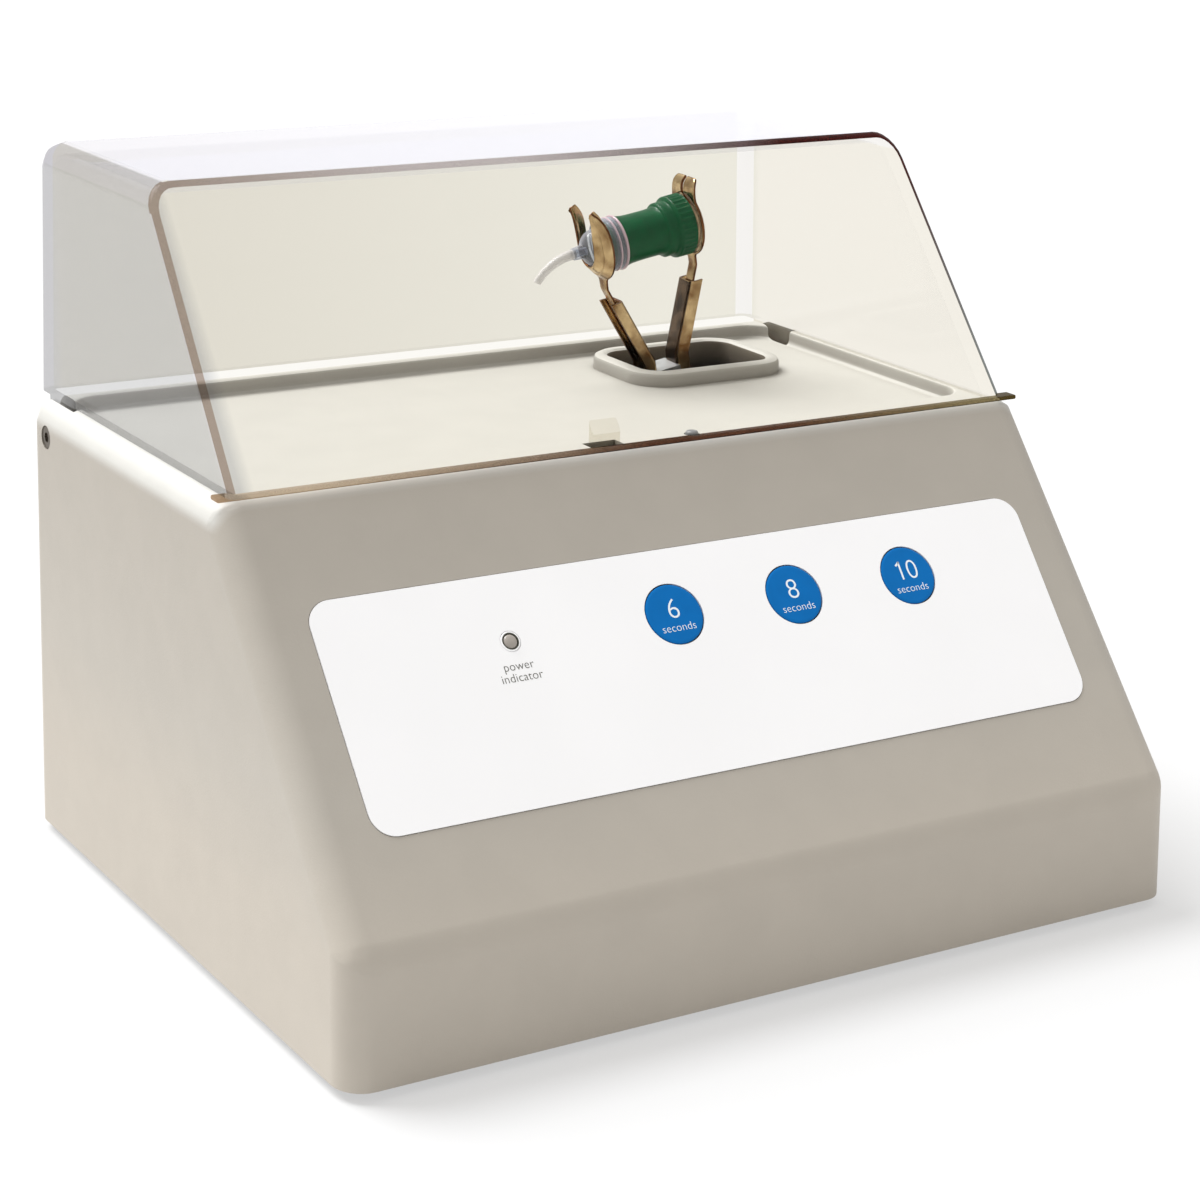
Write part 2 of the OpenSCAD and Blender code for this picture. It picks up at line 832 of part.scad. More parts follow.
module leg() {
    difference() {
        union() {
            extrude_across(-leg_half_w, leg_half_w) polygon(leg_outline(leg_web_t));
            for (y = [-leg_half_w, leg_half_w - spring_t])
                extrude_across(y, y + spring_t) polygon(leg_outline(leg_deep));
        }
        for (z = leg_screw_up) translate([0, 0, z]) rod_x(0, 10, 1.2);
    }
}

module right_leg() {
    color([0.76, 0.68, 0.52]) place() on_journal() leg();
}

module left_leg() {
    color([0.76, 0.68, 0.52]) place() on_journal() mirror([1, 0, 0]) leg();
}

module leg_screws() {
    color("silver") place() on_journal()
        for (side = [0, 1], z = leg_screw_up) mirror([side, 0, 0]) translate([0, 0, z]) {
            rod_x(0.5, neck_half + spring_t + 0.2, 1);
            rod_x(neck_half + leg_web_t, neck_half + spring_t + 1.5, 1.9);
        }
}

// Side outline of a fork blade: straight out of the leg, bent outwards, then upright
function blade_outline() =
    let (
        bend = leg_bend + 0.2, splay = leg_splay, t = spring_t,
        neck = capsule_up - head_r - 2.5, out = blade_at + (neck - bend) * splay
    ) [
        [blade_at, blade_low], [blade_at + t, blade_low], [blade_at + t, bend],
        [out + t, neck], [head_at + t, neck + 3], [head_at + t, capsule_up - head_r + 2],
        [head_at, capsule_up - head_r + 2], [head_at, neck + 3], [out, neck], [blade_at, bend]
    ];

module head_plate() {
    translate([head_at, 0, capsule_up]) rotate([90, 0, 90]) linear_extrude(spring_t) children();
}

// Curled tip of a tine, between two distances from the middle
module curled_tip(y0, y1, rise) {
    top = capsule_up + rise;
    extrude_across(y0, y1) polygon([
        [head_at, top - 5], [head_at + spring_t, top - 5], [head_at + spring_t, top - 3.4],
        [head_at + spring_t + 1.8, top - 0.3], [head_at + 1.9, top], [head_at, top - 3.2]
    ]);
}

// Head with two tines, and a slot between them that the dome passes through
module left_fork() {
    slot = dome_r + 0.35;
    edge = head_r - 0.6;
    color([0.78, 0.7, 0.54]) place() on_journal() mirror([1, 0, 0]) {
        extrude_across(-blade_half_w, blade_half_w) polygon(blade_outline());
        head_plate() difference() {
            union() {
                circle(r = head_r);
                translate([-head_r, 0]) square([2 * head_r, 7]);
            }
            circle(r = slot);
            translate([-slot, 0]) square([2 * slot, 20]);
        }
        for (side = [-1, 1])
            curled_tip(min(side * slot, side * edge), max(side * slot, side * edge), 11);
    }
}

// Full head with one broad tine
module right_fork() {
    color([0.78, 0.7, 0.54]) place() on_journal() {
        extrude_across(-blade_half_w, blade_half_w) polygon(blade_outline());
        head_plate() {
            circle(r = head_r);
            translate([-3.4, 0]) square([6.8, 9.5]);
        }
        curled_tip(-3.4, 3.4, 12.7);
    }
}

// Capsule, with its own line along X through the middle of the fork

module on_capsule() {
    on_journal() translate([0, 0, capsule_up]) children();
}

module capsule_barrel() {
    color([0.0, 0.32, 0.18]) place() on_capsule() difference() {
        rotate([0, 90, 0]) rotate_extrude() polygon([
            [0, -11], [barrel_r - 0.6, -11], [barrel_r, -8], [barrel_r - 0.6, 0], [barrel_r - 0.6, 4.2],
            [barrel_r + 0.4, 4.8], [barrel_r + 0.4, 7.4], [grip_r, 8], [grip_r, 12.4], [0, 12.4]
        ]);
        rod_x(1, 13, 4.2);
        for (a = [0 : 10 : 350]) rotate([a, 0, 0]) translate([0, grip_r + 0.25, 0]) rod_x(8.4, 12, 0.45);
    }
}

module capsule_plunger() {
    color([0.0, 0.28, 0.16]) place() on_capsule() rod_x(1.2, 12.1, 4.1);
}

// Clear collar and dome in front of the barrel
module capsule_collar() {
    color([0.85, 0.9, 0.95, 0.6]) place() on_capsule() rotate([0, 90, 0]) rotate_extrude() polygon([
        [0, -18.4], [2.2, -18.4], [dome_r - 1.4, -17.2], [dome_r - 0.2, -15.6], [dome_r, -14],
        [dome_r, -12.9], [barrel_r + 0.2, -12.9], [barrel_r + 0.2, -11], [0, -11]
    ]);
}

module capsule_rings() {
    color([0.9, 0.8, 0.85, 0.7]) place() on_capsule() rotate([0, 90, 0]) rotate_extrude() {
        polygon([[barrel_r, -8], [barrel_r - 0.4, -10], [barrel_r + 0.4, -10], [barrel_r + 0.4, -8]]);
    }
}

// Curved clear tube, bent down in a plane through the fork
module capsule_nozzle() {
    bend_r = 16;
    color([0.9, 0.92, 0.94, 0.6]) place() on_capsule() {
        rod_x(-21.5, -18.4, nozzle_r + 0.6);
        translate([-21.5, 0, -bend_r]) rotate([90, 0, 0])
            rotate([0, 0, 90]) rotate_extrude(angle = 46) translate([bend_r, 0]) circle(r = nozzle_r);
    }
}

// Cover

cover_low = deck_h + pass_gap;
cover_top = deck_h + cover_h;
cover_side = [
    [deck_front, deck_h], [overall_d, deck_h], [overall_d, cover_top],
    [deck_front + cover_rake, cover_top]
];

function cover_width(z) = cover_w - cover_draft * (z - deck_h) / cover_h;

// The cover's rounded form, drawn in all round by its wall
module cover_form(shrink) {
    rake = cover_rake / cover_h;
    drawn = shrink / cos(atan(rake));
    hull() {
        for (side = [-1, 1], i = [2, 3]) {
            c = round_centre(cover_side[i - 1], cover_side[i], cover_side[(i + 1) % 4], cover_r);
            translate([side * (cover_width(c[1]) / 2 - cover_r), c[0], c[1]])
                sphere(r = cover_r - shrink, $fn = 32);
        }
        for (side = [-1, 1]) {
            translate([side * (cover_w / 2 - cover_r), overall_d - cover_r, cover_low - 2])
                cylinder(r = cover_r - shrink, h = 1, $fn = 32);
            translate([
                side * (cover_w / 2 - 0.5 - shrink),
                deck_front + drawn - 2 * rake + 0.4, cover_low - 2
            ])
                cylinder(r = 0.4, h = 1, $fn = 32);
        }
    }
}

module cover_ears() {
    for (side = [-1, 1]) {
        block_between(
            side * ear_in, side * cover_w / 2, hinge_y - ear_r, hinge_y + ear_r - 0.5,
            hinge_z, cover_low + 2
        );
        translate([0, hinge_y, hinge_z]) mirror([side < 0 ? 1 : 0, 0, 0])
            rod_x(ear_in, cover_w / 2, ear_r);
    }
}

module catch_block(low, high) {
    block([catch_x - catch_half, catch_y[0], low], [catch_x + catch_half, catch_y[1], high]);
}

module cover() {
    color([0.8, 0.76, 0.7, 0.35]) place() difference() {
        union() {
            difference() {
                cover_form(0);
                cover_form(cover_wall);
                block([-200, 0, 0], [200, 300, cover_low]);
            }
            block(
                [-body_width(deck_h) / 2 + 1, deck_front - 1, cover_low],
                [body_width(deck_h) / 2 - 1, deck_front + 3, cover_low + 2.6]
            );
            intersection() {
                cover_form(0.5);
                catch_block(cover_low - 1, deck_h + 7);
            }
            catch_block(tray_floor, deck_h + 2);
            cover_ears();
        }
        translate([0, hinge_y, hinge_z]) rod_x(-200, 200, hinge_pin_r + run_gap);
    }
}

module hinge_pins() {
    edge = body_width(hinge_z) / 2;
    color([0.5, 0.48, 0.45]) place() translate([0, hinge_y, hinge_z])
        for (side = [0, 1]) mirror([side, 0, 0]) {
            rod_x(ear_in - 5, edge, hinge_pin_r);
            rod_x(edge - 1.1, edge, hinge_pin_r + 1);
        }
}

// Interlock below the deck's front border

module interlock_switch() {
    at = plunger_at;
    top = deck_h - wall;
    color([0.12, 0.12, 0.13]) place() difference() {
        block([at[0] - 10, at[1] - 3, top - 10.5], [at[0] + 10, at[1] + 2.4, top - 0.05]);
        translate([at[0], at[1], top - 7]) cylinder(r = plunger_r + 0.35, h = 10);
    }
}

module interlock_plunger() {
    color([0.75, 0.76, 0.78]) place() translate([plunger_at[0], plunger_at[1], deck_h - wall - 6.7]) {
        cylinder(r = plunger_r, h = wall + 7);
        translate([0, 0, wall + 7]) cylinder(r1 = plunger_r, r2 = plunger_r - 0.5, h = 0.6);
    }
}

// Leads inside the housing

module tube_between(a, b, r) {
    d = b - a;
    translate(a) rotate([0, acos(d[2] / norm(d)), atan2(d[1], d[0])]) cylinder(r = r, h = norm(d));
}

module lead(points, r) {
    for (i = [0 : len(points) - 2]) tube_between(points[i], points[i + 1], r);
    if (len(points) > 2)
        for (i = [1 : len(points) - 2]) translate(points[i]) sphere(r = r + 0.1);
}

// A point at a place along the slope, with its distance out of it
function slope_point(x, up, out) = [
    x, crease_in + up * sin(slope_tilt) - out * cos(slope_tilt),
    crease_h + up * cos(slope_tilt) + out * sin(slope_tilt)
];

lead_r = 1.4;
lead_end = board_z - board_t - lead_r - 0.3;

module mains_leads() {
    color([0.35, 0.22, 0.12]) place()
        for (i = [-1, 1]) {
            start = [inlet_x + i * 7, body_d - 26, rear_z - 2];
            lead([
                start, start + [0, -24, 0], [inlet_x + i * 4, 92, 20],
                slope_point(-62 + i * 4, board_up[0] + 8, lead_end)
            ], lead_r);
        }
}

module motor_leads() {
    color([0.1, 0.2, 0.5]) place()
        for (i = [-1, 1])
            lead([
                [-14 + i * 1.8, hub_y - motor_r - 0.3, shaft_h],
                slope_point(-14 + i * 1.8, board_up[1] - 12, lead_end)
            ], lead_r);
}

housing();
base_plate();
rubber_feet();
base_screws();
panel_overlay();
button_6();
button_8();
button_10();
lamp_lens();
lamp_bezel();
control_board();
button_switches();
board_screws();
board_parts();
power_inlet();
inlet_blades();
inlet_screws();
fuse_holder();
rocker_bezel();
power_rocker();
motor_can();
stator_core();
stator_windings();
motor_front_end();
motor_rear_end();
shaft_bushes();
motor_shaft();
rotor_core();
cooling_fan();
motor_cradle();
motor_straps();
rubber_mounts();
mount_screws();
inclined_hub();
hub_set_screw();
bearing_inner_ring();
bearing_balls();
bearing_outer_ring();
journal_clip();
arm_carrier();
left_leg();
right_leg();
leg_screws();
left_fork();
right_fork();
capsule_barrel();
capsule_collar();
capsule_rings();
capsule_nozzle();
capsule_plunger();
cover();
hinge_pins();
interlock_switch();
interlock_plunger();
mains_leads();
motor_leads();
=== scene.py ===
# %% [markdown]
# # A bench mixer for dental capsules
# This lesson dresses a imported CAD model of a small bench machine. The CAD says where each piece
# sits and what moves. Blender adds the looks: soft edges, moulded plastic, clear acrylic, straw-
# coloured spring steel and a green capsule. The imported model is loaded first.

import json
import math

import bpy
from mathutils import Matrix, Vector


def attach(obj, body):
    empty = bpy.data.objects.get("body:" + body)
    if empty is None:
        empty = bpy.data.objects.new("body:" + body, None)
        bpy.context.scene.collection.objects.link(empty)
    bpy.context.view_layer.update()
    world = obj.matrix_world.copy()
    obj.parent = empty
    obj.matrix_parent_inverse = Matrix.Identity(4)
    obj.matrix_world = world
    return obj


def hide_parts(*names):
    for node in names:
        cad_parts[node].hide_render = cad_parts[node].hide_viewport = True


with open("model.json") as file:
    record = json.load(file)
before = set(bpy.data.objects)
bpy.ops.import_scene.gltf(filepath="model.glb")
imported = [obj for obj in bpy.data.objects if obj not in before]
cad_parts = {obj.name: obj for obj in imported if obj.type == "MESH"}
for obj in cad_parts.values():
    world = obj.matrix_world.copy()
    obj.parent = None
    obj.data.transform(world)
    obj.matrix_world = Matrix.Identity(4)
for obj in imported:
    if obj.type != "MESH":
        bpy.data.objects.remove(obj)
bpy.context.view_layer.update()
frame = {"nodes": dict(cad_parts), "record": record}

# %% [markdown]
# Pieces are modelled in millimetres, each in the frame that suits it. The housing's frame starts
# at the middle of its lower front edge, and the sloping front's at the middle of the crease. The
# tilted journal's carries the fork: its X runs along the capsule and its Z up between the legs.



# %% The three frames
def shift(*by):
    return Matrix.Translation(by)


def spin(angle, axis):
    return Matrix.Rotation(angle, 4, axis)


OVERALL_D = 189.0
FOOT_H = 2.5
BODY_D, DECK_H, DECK_FRONT = 184.5, 113.0, 70.0
CREASE_Y, CREASE_Z = 1.3, 30
CREASE = Vector((0, CREASE_Y, CREASE_Z))
SLOPE_TILT = math.atan2(DECK_FRONT - CREASE_Y, DECK_H - CREASE_Z)
HUB = Vector((63.5, 151.5, 70))
JOURNAL_TILT = math.radians(11.5)
JOURNAL_PHASE = math.radians(20)

housing_frame = Matrix.Scale(0.001, 4) @ shift(0, -OVERALL_D / 2, FOOT_H)
slope_turn = spin(math.pi / 2 - SLOPE_TILT, "X")
slope_place = shift(*CREASE) @ slope_turn
slope_frame = housing_frame @ shift(*CREASE) @ slope_turn
journal_axis = Vector((0, -math.cos(JOURNAL_PHASE), -math.sin(JOURNAL_PHASE)))
journal_turn = spin(JOURNAL_TILT, journal_axis)
journal_frame = housing_frame @ shift(*HUB) @ journal_turn
print("the front leans back by", round(math.degrees(SLOPE_TILT), 1), "degrees")

# %% [markdown]
# The camera's place was worked out from straight edges of the housing. It looks from the front
# left and a little down, and a long lens keeps the edges nearly parallel.

# %% The camera
CAMERA_AT = Vector((-0.355087, -0.585749, 0.288318))
CAMERA_RIGHT = Vector((0.857086, -0.514684, 0.022445))
CAMERA_UP = Vector((0.137918, 0.271212, 0.952587))
LENS_MM, SENSOR_MM, LENS_SHIFT = 85.71, 36, 0.0012

scene = bpy.context.scene


def tuned(thing, **settings):
    for name, value in settings.items():
        setattr(thing, name, value)
    return thing


def linked(name, data, matrix):
    thing = bpy.data.objects.new(name, data)
    scene.collection.objects.link(thing)
    return tuned(thing, matrix_world=matrix)


camera_data = bpy.data.cameras.new("camera")
tuned(camera_data, lens=LENS_MM, sensor_width=SENSOR_MM, shift_x=LENS_SHIFT)
turn = Matrix((CAMERA_RIGHT, CAMERA_UP, CAMERA_RIGHT.cross(CAMERA_UP))).transposed()
scene.camera = linked("camera", camera_data, shift(*CAMERA_AT) @ turn.to_4x4())
scene.view_settings.view_transform = "Standard"

# %% [markdown]
# Light and finishes are networks of nodes. `give` sets or links an input, `add` makes a node with
# its inputs, and `calc` is a Math node.


# %% Helpers for nodes
def give(socket, value):
    """Sets an input to a value, or links it to another node's output."""
    if isinstance(value, bpy.types.NodeSocket):
        socket.id_data.links.new(value, socket)
    else:
        socket.default_value = value


def add(tree, kind, inputs=(), **settings):
    node = tuned(tree.nodes.new("ShaderNode" + kind), **settings)
    for place, value in dict(inputs).items():
        give(node.inputs[place], value)
    return node


def calc(tree, operation, first, second):
    return add(tree, "Math", {0: first, 1: second}, operation=operation).outputs[0]


def mixed(tree, share, first, second):
    """A mix of two shaders, which is all second where the share is 1."""
    return add(tree, "MixShader", {0: share, 1: first.outputs[0], 2: second.outputs[0]})


# %% [markdown]
# The light is a small product studio's: an even pale room and one wide soft sun from high on the
# left. The room is white to the camera, to metal and to glass, and dimmer where it lights plain
# surfaces, so that the sun can shape them.

# %% Sun and room
ROOM_LIGHT = 0.72
SUN_STRENGTH, SUN_WIDTH = 4.4, math.radians(38)
SUN_FROM = Vector((-0.31, 0.54, 0.83)).normalized()

sun_data = bpy.data.lights.new("soft_sun", "SUN")
tuned(sun_data, energy=SUN_STRENGTH, angle=SUN_WIDTH, color=(0.975, 0.985, 1.0))
linked("soft_sun", sun_data, SUN_FROM.to_track_quat("Z", "Y").to_matrix().to_4x4())


def seen_or_mirrored(tree, strength=1.0):
    """A factor for rays from the camera, from metal and from glass, and 0 for plain surfaces."""
    ray = add(tree, "LightPath").outputs
    either = calc(tree, "MAXIMUM", ray["Is Camera Ray"], ray["Is Glossy Ray"])
    either = calc(tree, "MAXIMUM", either, ray["Is Transmission Ray"])
    return calc(tree, "MULTIPLY", either, strength)


scene.world = room = bpy.data.worlds.new("room")
room.use_nodes = True
room.node_tree.nodes.clear()
plain = add(room.node_tree, "Background", {"Color": (1, 0.98, 0.955, 1), "Strength": ROOM_LIGHT})
white = add(room.node_tree, "Background", {"Strength": 1.0})
both = mixed(room.node_tree, seen_or_mirrored(room.node_tree), plain, white)
add(room.node_tree, "OutputWorld", {"Surface": both.outputs[0]})

# %% [markdown]
# Colours are written as they read off a screen, from 0 to 255, and turned into light. A finish is
# one Principled shader, whose colour drifts a little and whose surface has a fine grain. Both
# come from noise on Object coordinates, so the pattern is tied to the piece.


# %% Helpers for finishes
def light(*screen):
    """The linear colour of a screen colour."""
    parts = [c / 255 for c in screen]
    return [p / 12.92 if p <= 0.04045 else ((p + 0.055) / 1.055) ** 2.4 for p in parts] + [1]


def shifted(colour, amount):
    return [min(1, max(0, c * (1 + amount))) for c in colour[:3]] + [1]


EVEN = (1, 1, 1)
finishes = {}


class Finish:
    """A material with one Principled shader, and short ways to add patterns to it."""

    def __init__(self, name, colour, roughness, metallic=0.0):
        finishes[name] = self
        self.material = bpy.data.materials.new(name)
        self.material.use_nodes = True
        self.tree = self.material.node_tree
        self.shader = self.tree.nodes["Principled BSDF"]
        self.colour, self.roughness = colour, roughness
        self.set("Base Color", colour).set("Roughness", roughness).set("Metallic", metallic)

    def set(self, socket, value):
        give(self.shader.inputs[socket], value)
        return self

    def add(self, kind, inputs=(), **settings):
        return add(self.tree, kind, inputs, **settings).outputs

    def show(self, shader):
        give(self.tree.nodes["Material Output"].inputs["Surface"], shader.outputs[0])

    def at(self, stretch=EVEN):
        place = self.add("TexCoord")["Object"]
        return self.add("Mapping", {"Vector": place, "Scale": stretch})["Vector"]

    def noise(self, size_mm, detail=2.0, stretch=EVEN):
        """Noise whose spots are about size_mm across."""
        inputs = {"Vector": self.at(stretch), "Scale": 1000 / size_mm, "Detail": detail}
        return self.add("TexNoise", inputs)["Fac"]

    def spread(self, value, start=0, end=1, low=0, high=1):
        """A value between start and end, mapped to one between low and high."""
        limits = {"From Min": start, "From Max": end, "To Min": low, "To Max": high}
        return self.add("MapRange", {"Value": value} | limits)["Result"]

    def blended(self, factor, low, high, near=0.35, far=0.65):
        """A colour between low and high, by a factor between near and far."""
        ramp = add(self.tree, "ValToRGB", {"Fac": factor})
        first, last = ramp.color_ramp.elements
        first.position, first.color = near, low
        last.position, last.color = far, high
        return ramp.outputs["Color"]

    def between(self, factor, low, high, blend="MIX"):
        """A colour from low to high by a factor; each may be a colour or another node's."""
        inputs = {"Factor": factor, "A": low, "B": high}
        return self.add("Mix", inputs, data_type="RGBA", blend_type=blend)["Result"]

    def painted(self):
        return self.shader.inputs["Base Color"].links[0].from_socket

    def drift(self, size_mm, amount, stretch=EVEN):
        """Lets the colour drift by a share of itself."""
        low, high = shifted(self.colour, -amount), shifted(self.colour, amount)
        clouds = self.noise(size_mm, stretch=stretch)
        return self.set("Base Color", self.blended(clouds, low, high))

    def worn(self, size_mm, amount):
        """Lets the roughness vary by an amount."""
        low, high = max(0.02, self.roughness - amount), self.roughness + amount
        return self.set("Roughness", self.spread(self.noise(size_mm, 3.0), low=low, high=high))

    def raised(self, height, depth_mm):
        return self.set("Normal", self.add(
            "Bump", {"Height": height, "Strength": 1.0, "Distance": depth_mm / 1000}
        )["Normal"])

    def grain(self, size_mm, depth_mm, stretch=EVEN):
        return self.raised(self.noise(size_mm, stretch=stretch), depth_mm)

    def share_along(self, axis, start, end):
        """0 before one place on an axis and 1 after another, in metres."""
        place = self.add("SeparateXYZ", {"Vector": self.at()})[axis]
        return self.spread(place, start, end)

    def toned(self, factors, *spans):
        """Multiplies the colour by factors where every span (axis, start, end) has been passed."""
        share = self.share_along(*spans[0])
        for span in spans[1:]:
            share = calc(self.tree, "MULTIPLY", share, self.share_along(*span))
        tone = self.between(share, [1, 1, 1, 1], [*factors, 1])
        return self.set("Base Color", self.between(1, self.painted(), tone, "MULTIPLY"))

    def shaded(self, reach_mm, dark, low, high):
        """Paints shade: darkens the colour in corners and hollows of the piece itself."""
        corners = self.add(
            "AmbientOcclusion", {"Distance": reach_mm / 1000}, only_local=True, samples=6
        )["AO"]
        share = self.spread(corners, low, high)
        return self.set("Base Color", self.between(share, dark, self.painted()))


# %% [markdown]
# Most finishes are a row in a table: a colour, a roughness, a share of metal, and the size and
# amount of the colour's drift, of the wear and of the grain. The housing gets painted light: it is
# a little darker towards the top, lighter low down and much lighter and cooler on the deck. Its
# own hollows, which Ambient Occlusion finds, get painted shade, and so do the walls of its
# opening, which get dark below the rim.

# %% Plastics and rubber
def fill(*rows):
    """Makes a patterned finish of each row."""
    for name, screen, roughness, metallic, drift, worn, grain in rows:
        finish = Finish(name, light(*screen), roughness, metallic)
        finish.drift(*drift).worn(*worn).grain(*grain)


fill(
    ("housing_plastic", (177, 171, 161), 0.52, 0, (14, 0.015), (3, 0.06), (0.55, 0.03)),
    # The next row is the dark painted shade for the opening's walls.
    ("housing_painted_shade", (118, 110, 98), 0.6, 0, (6, 0.05), (3, 0.06), (0.55, 0.03)),
    ("panel_film", (251, 251, 252), 0.32, 0, (30, 0.008), (6, 0.04), (0.9, 0.004)),
    ("button_blue", (0, 107, 181), 0.45, 0, (5, 0.03), (4, 0.04), (0.7, 0.004)),
    ("dark_plastic", (34, 34, 36), 0.42, 0, (9, 0.1), (3, 0.08), (0.5, 0.02)),
    ("grey_plastic", (128, 130, 134), 0.4, 0, (7, 0.05), (3, 0.06), (0.6, 0.01)),
    ("lamp_grey", (162, 155, 147), 0.22, 0, (1.5, 0.06), (2, 0.04), (0.3, 0.004)),
    ("rubber_black", (38, 38, 38), 0.75, 0, (6, 0.12), (2, 0.08), (0.4, 0.03)),
    ("ring_grey", (64, 64, 52), 0.45, 0, (1, 0.06), (1, 0.05), (0.3, 0.004)),
    ("print_white", (238, 244, 248), 0.4, 0, (2, 0.02), (1, 0.04), (0.3, 0.002)),
    ("print_grey", (70, 70, 58), 0.5, 0, (2, 0.04), (1, 0.04), (0.3, 0.002)),
)
# Painted light on the housing: a little darker towards the top, lighter low down and much lighter
# on the deck. Ambient Occlusion paints shade in its hollows.
LIT_DECK_SPAN = (("Z", 0.1085, 0.1112), ("Y", -0.0262, -0.0238))
housing_lit_and_shaded = finishes["housing_plastic"].toned((0.9, 0.89, 0.88), ("Z", 0.06, 0.115))
housing_lit_and_shaded.toned((1.1, 1.08, 1.06), ("Z", 0.06, 0.03)).toned((1.36, 1.46, 1.58), *LIT_DECK_SPAN)
housing_lit_and_shaded.shaded(30, light(92, 83, 73), 0.2, 0.8)
# Painted shade: the opening's walls get darker still below the rim.
finishes["housing_painted_shade"].toned((0.14, 0.13, 0.12), ("Z", 0.1142, 0.1085))
finishes["button_blue"].set("Specular IOR Level", 0.12)

# %% [markdown]
# Turned and drawn metal shows fine lines along the direction in which it was worked, so its noise
# is stretched that way. Cast metal has a coarse skin.
# In the motor, bands show the core's thin sheets and the turns of the windings.

# %% Metals, board, leads and windings
ALONG_X = (0.05, 1, 1)
fill(
    ("zinc_steel", (188, 190, 196), 0.34, 1, (6, 0.08), (4, 0.1), (1.2, 0.006)),
    ("screw_steel", (205, 205, 206), 0.24, 1, (2, 0.06), (1.5, 0.06), (0.4, 0.004)),
    ("shaft_steel", (180, 178, 176), 0.28, 1, (3, 0.06, ALONG_X), (2, 0.08),
     (0.3, 0.003, ALONG_X)),
    ("bearing_steel", (214, 214, 218), 0.12, 1, (2, 0.04), (2, 0.04), (0.3, 0.002)),
    ("cast_metal", (196, 198, 202), 0.42, 1, (4, 0.08), (2, 0.1), (0.8, 0.03)),
    ("bush_bronze", (196, 152, 92), 0.38, 1, (2, 0.1), (2, 0.08), (0.3, 0.008)),
    ("board_green", (40, 110, 66), 0.35, 0, (5, 0.12), (3, 0.05), (1.5, 0.02)),
    ("lead_brown", (96, 60, 36), 0.4, 0, (5, 0.08), (3, 0.06), (0.6, 0.01)),
    ("lead_blue", (44, 76, 150), 0.4, 0, (5, 0.08), (3, 0.06), (0.6, 0.01)),
)


def banded(name, screen, roughness, pitch_mm, axis, depth_mm, dark):
    """A metal with grooves across an axis, darker in the grooves."""
    finish = Finish(name, light(*screen), roughness, 1)
    bands = finish.add("TexWave", {
        "Vector": finish.at(), "Scale": 314 / pitch_mm, "Distortion": 0.4,
    }, bands_direction=axis)["Fac"]
    groove = shifted(finish.colour, -dark)
    finish.set("Base Color", finish.blended(bands, groove, finish.colour, 0, 0.6))
    finish.worn(2, 0.06).raised(bands, depth_mm)


banded("core_steel", (112, 112, 118), 0.5, 0.5, "X", 0.05, 0.5)
banded("winding_copper", (176, 96, 48), 0.3, 0.6, "Y", 0.2, 0.6)

# %% [markdown]
# The fork is polished spring steel, and tempering left it straw-coloured, with soft brown clouds
# and faint lines along the blades. Channels and creases get painted shade. The cut edges are
# brown, and one leg's web is nearly black, a painted dark reflection.

# %% Spring steel
ALONG_Z = (1, 1, 0.1)
straw = Finish("spring_steel", light(190, 162, 118), 0.2, 1)
straw.set("Base Color", straw.blended(
    straw.noise(5, 3.0), light(118, 84, 50), light(212, 186, 142), 0.3, 0.66
))
# Painted shade: Ambient Occlusion darkens the steel in channels and creases.
straw.shaded(2.0, light(60, 44, 34), 0.05, 0.5).worn(3, 0.08).grain(0.5, 0.01, ALONG_Z)
fill(
    ("spring_edge", (104, 66, 40), 0.3, 1, (1.5, 0.3), (1, 0.08), (0.3, 0.01)),
    # The next row paints a dark reflection on the right leg's web.
    ("spring_dark_reflection", (84, 68, 54), 0.24, 1, (4, 0.55), (2, 0.08), (0.5, 0.01, ALONG_Z)),
    ("dark_pin", (96, 88, 78), 0.4, 0.8, (1.5, 0.12), (1, 0.08), (0.3, 0.008)),
)

# %% [markdown]
# The capsule's milky end is mixed from a plain shader and a Transparent one. Where one looks
# straight at it, much of what is behind comes through, and it gets denser towards its outline.


# %% Capsule plastics
def facing_share(finish, power, low, high):
    """A factor that is low where one looks straight at a surface and high along it."""
    slant = finish.add("LayerWeight", {"Blend": 0.5})["Facing"]
    return finish.spread(calc(finish.tree, "POWER", slant, power), low=low, high=high)


def milky(name, screen, tint, cover):
    """A milky plastic that hides a share of what is behind it."""
    finish = Finish(name, light(*screen), 0.16).drift(2, 0.03).worn(2, 0.05)
    through = add(finish.tree, "BsdfTransparent", {"Color": light(*tint)})
    share = facing_share(finish, 2.0, cover, 0.95)
    finish.show(mixed(finish.tree, share, through, finish.shader))


fill(("capsule_green", (3, 76, 42), 0.36, 0, (2.5, 0.14), (1.5, 0.08), (0.5, 0.012)))
finishes["capsule_green"].set("Specular IOR Level", 0.22)
milky("capsule_clear", (188, 190, 200), (232, 236, 242), 0.2)
milky("nozzle_clear", (236, 234, 233), (246, 246, 246), 0.3)
milky("ring_clear", (230, 206, 216), (244, 234, 238), 0.6)

# %% [markdown]
# The cover is clear acrylic with a light bronze tint. Each surface lets most light straight
# through and mirrors more at a grazing angle, and lamps shine through it unhindered. The outer
# skin's tint is a little deeper at the rear and on the left, and its bends are darker on the left,
# which is painted shade; the inner skin is plain. Sheet looks brown where it is seen edge on, so
# the tight edges and the lip have browns of their own. On the top a plain pale layer paints a
# sheen, which looks white at a grazing angle.


# %% Clear acrylic
def tinted(finish, tint):
    """A screen colour, or else a blend (axis, start, end, tint, tint) along an axis."""
    if not isinstance(tint[0], str):
        return light(*tint)
    *span, low, high = tint
    return finish.between(finish.share_along(*span), tinted(finish, low), tinted(finish, high))


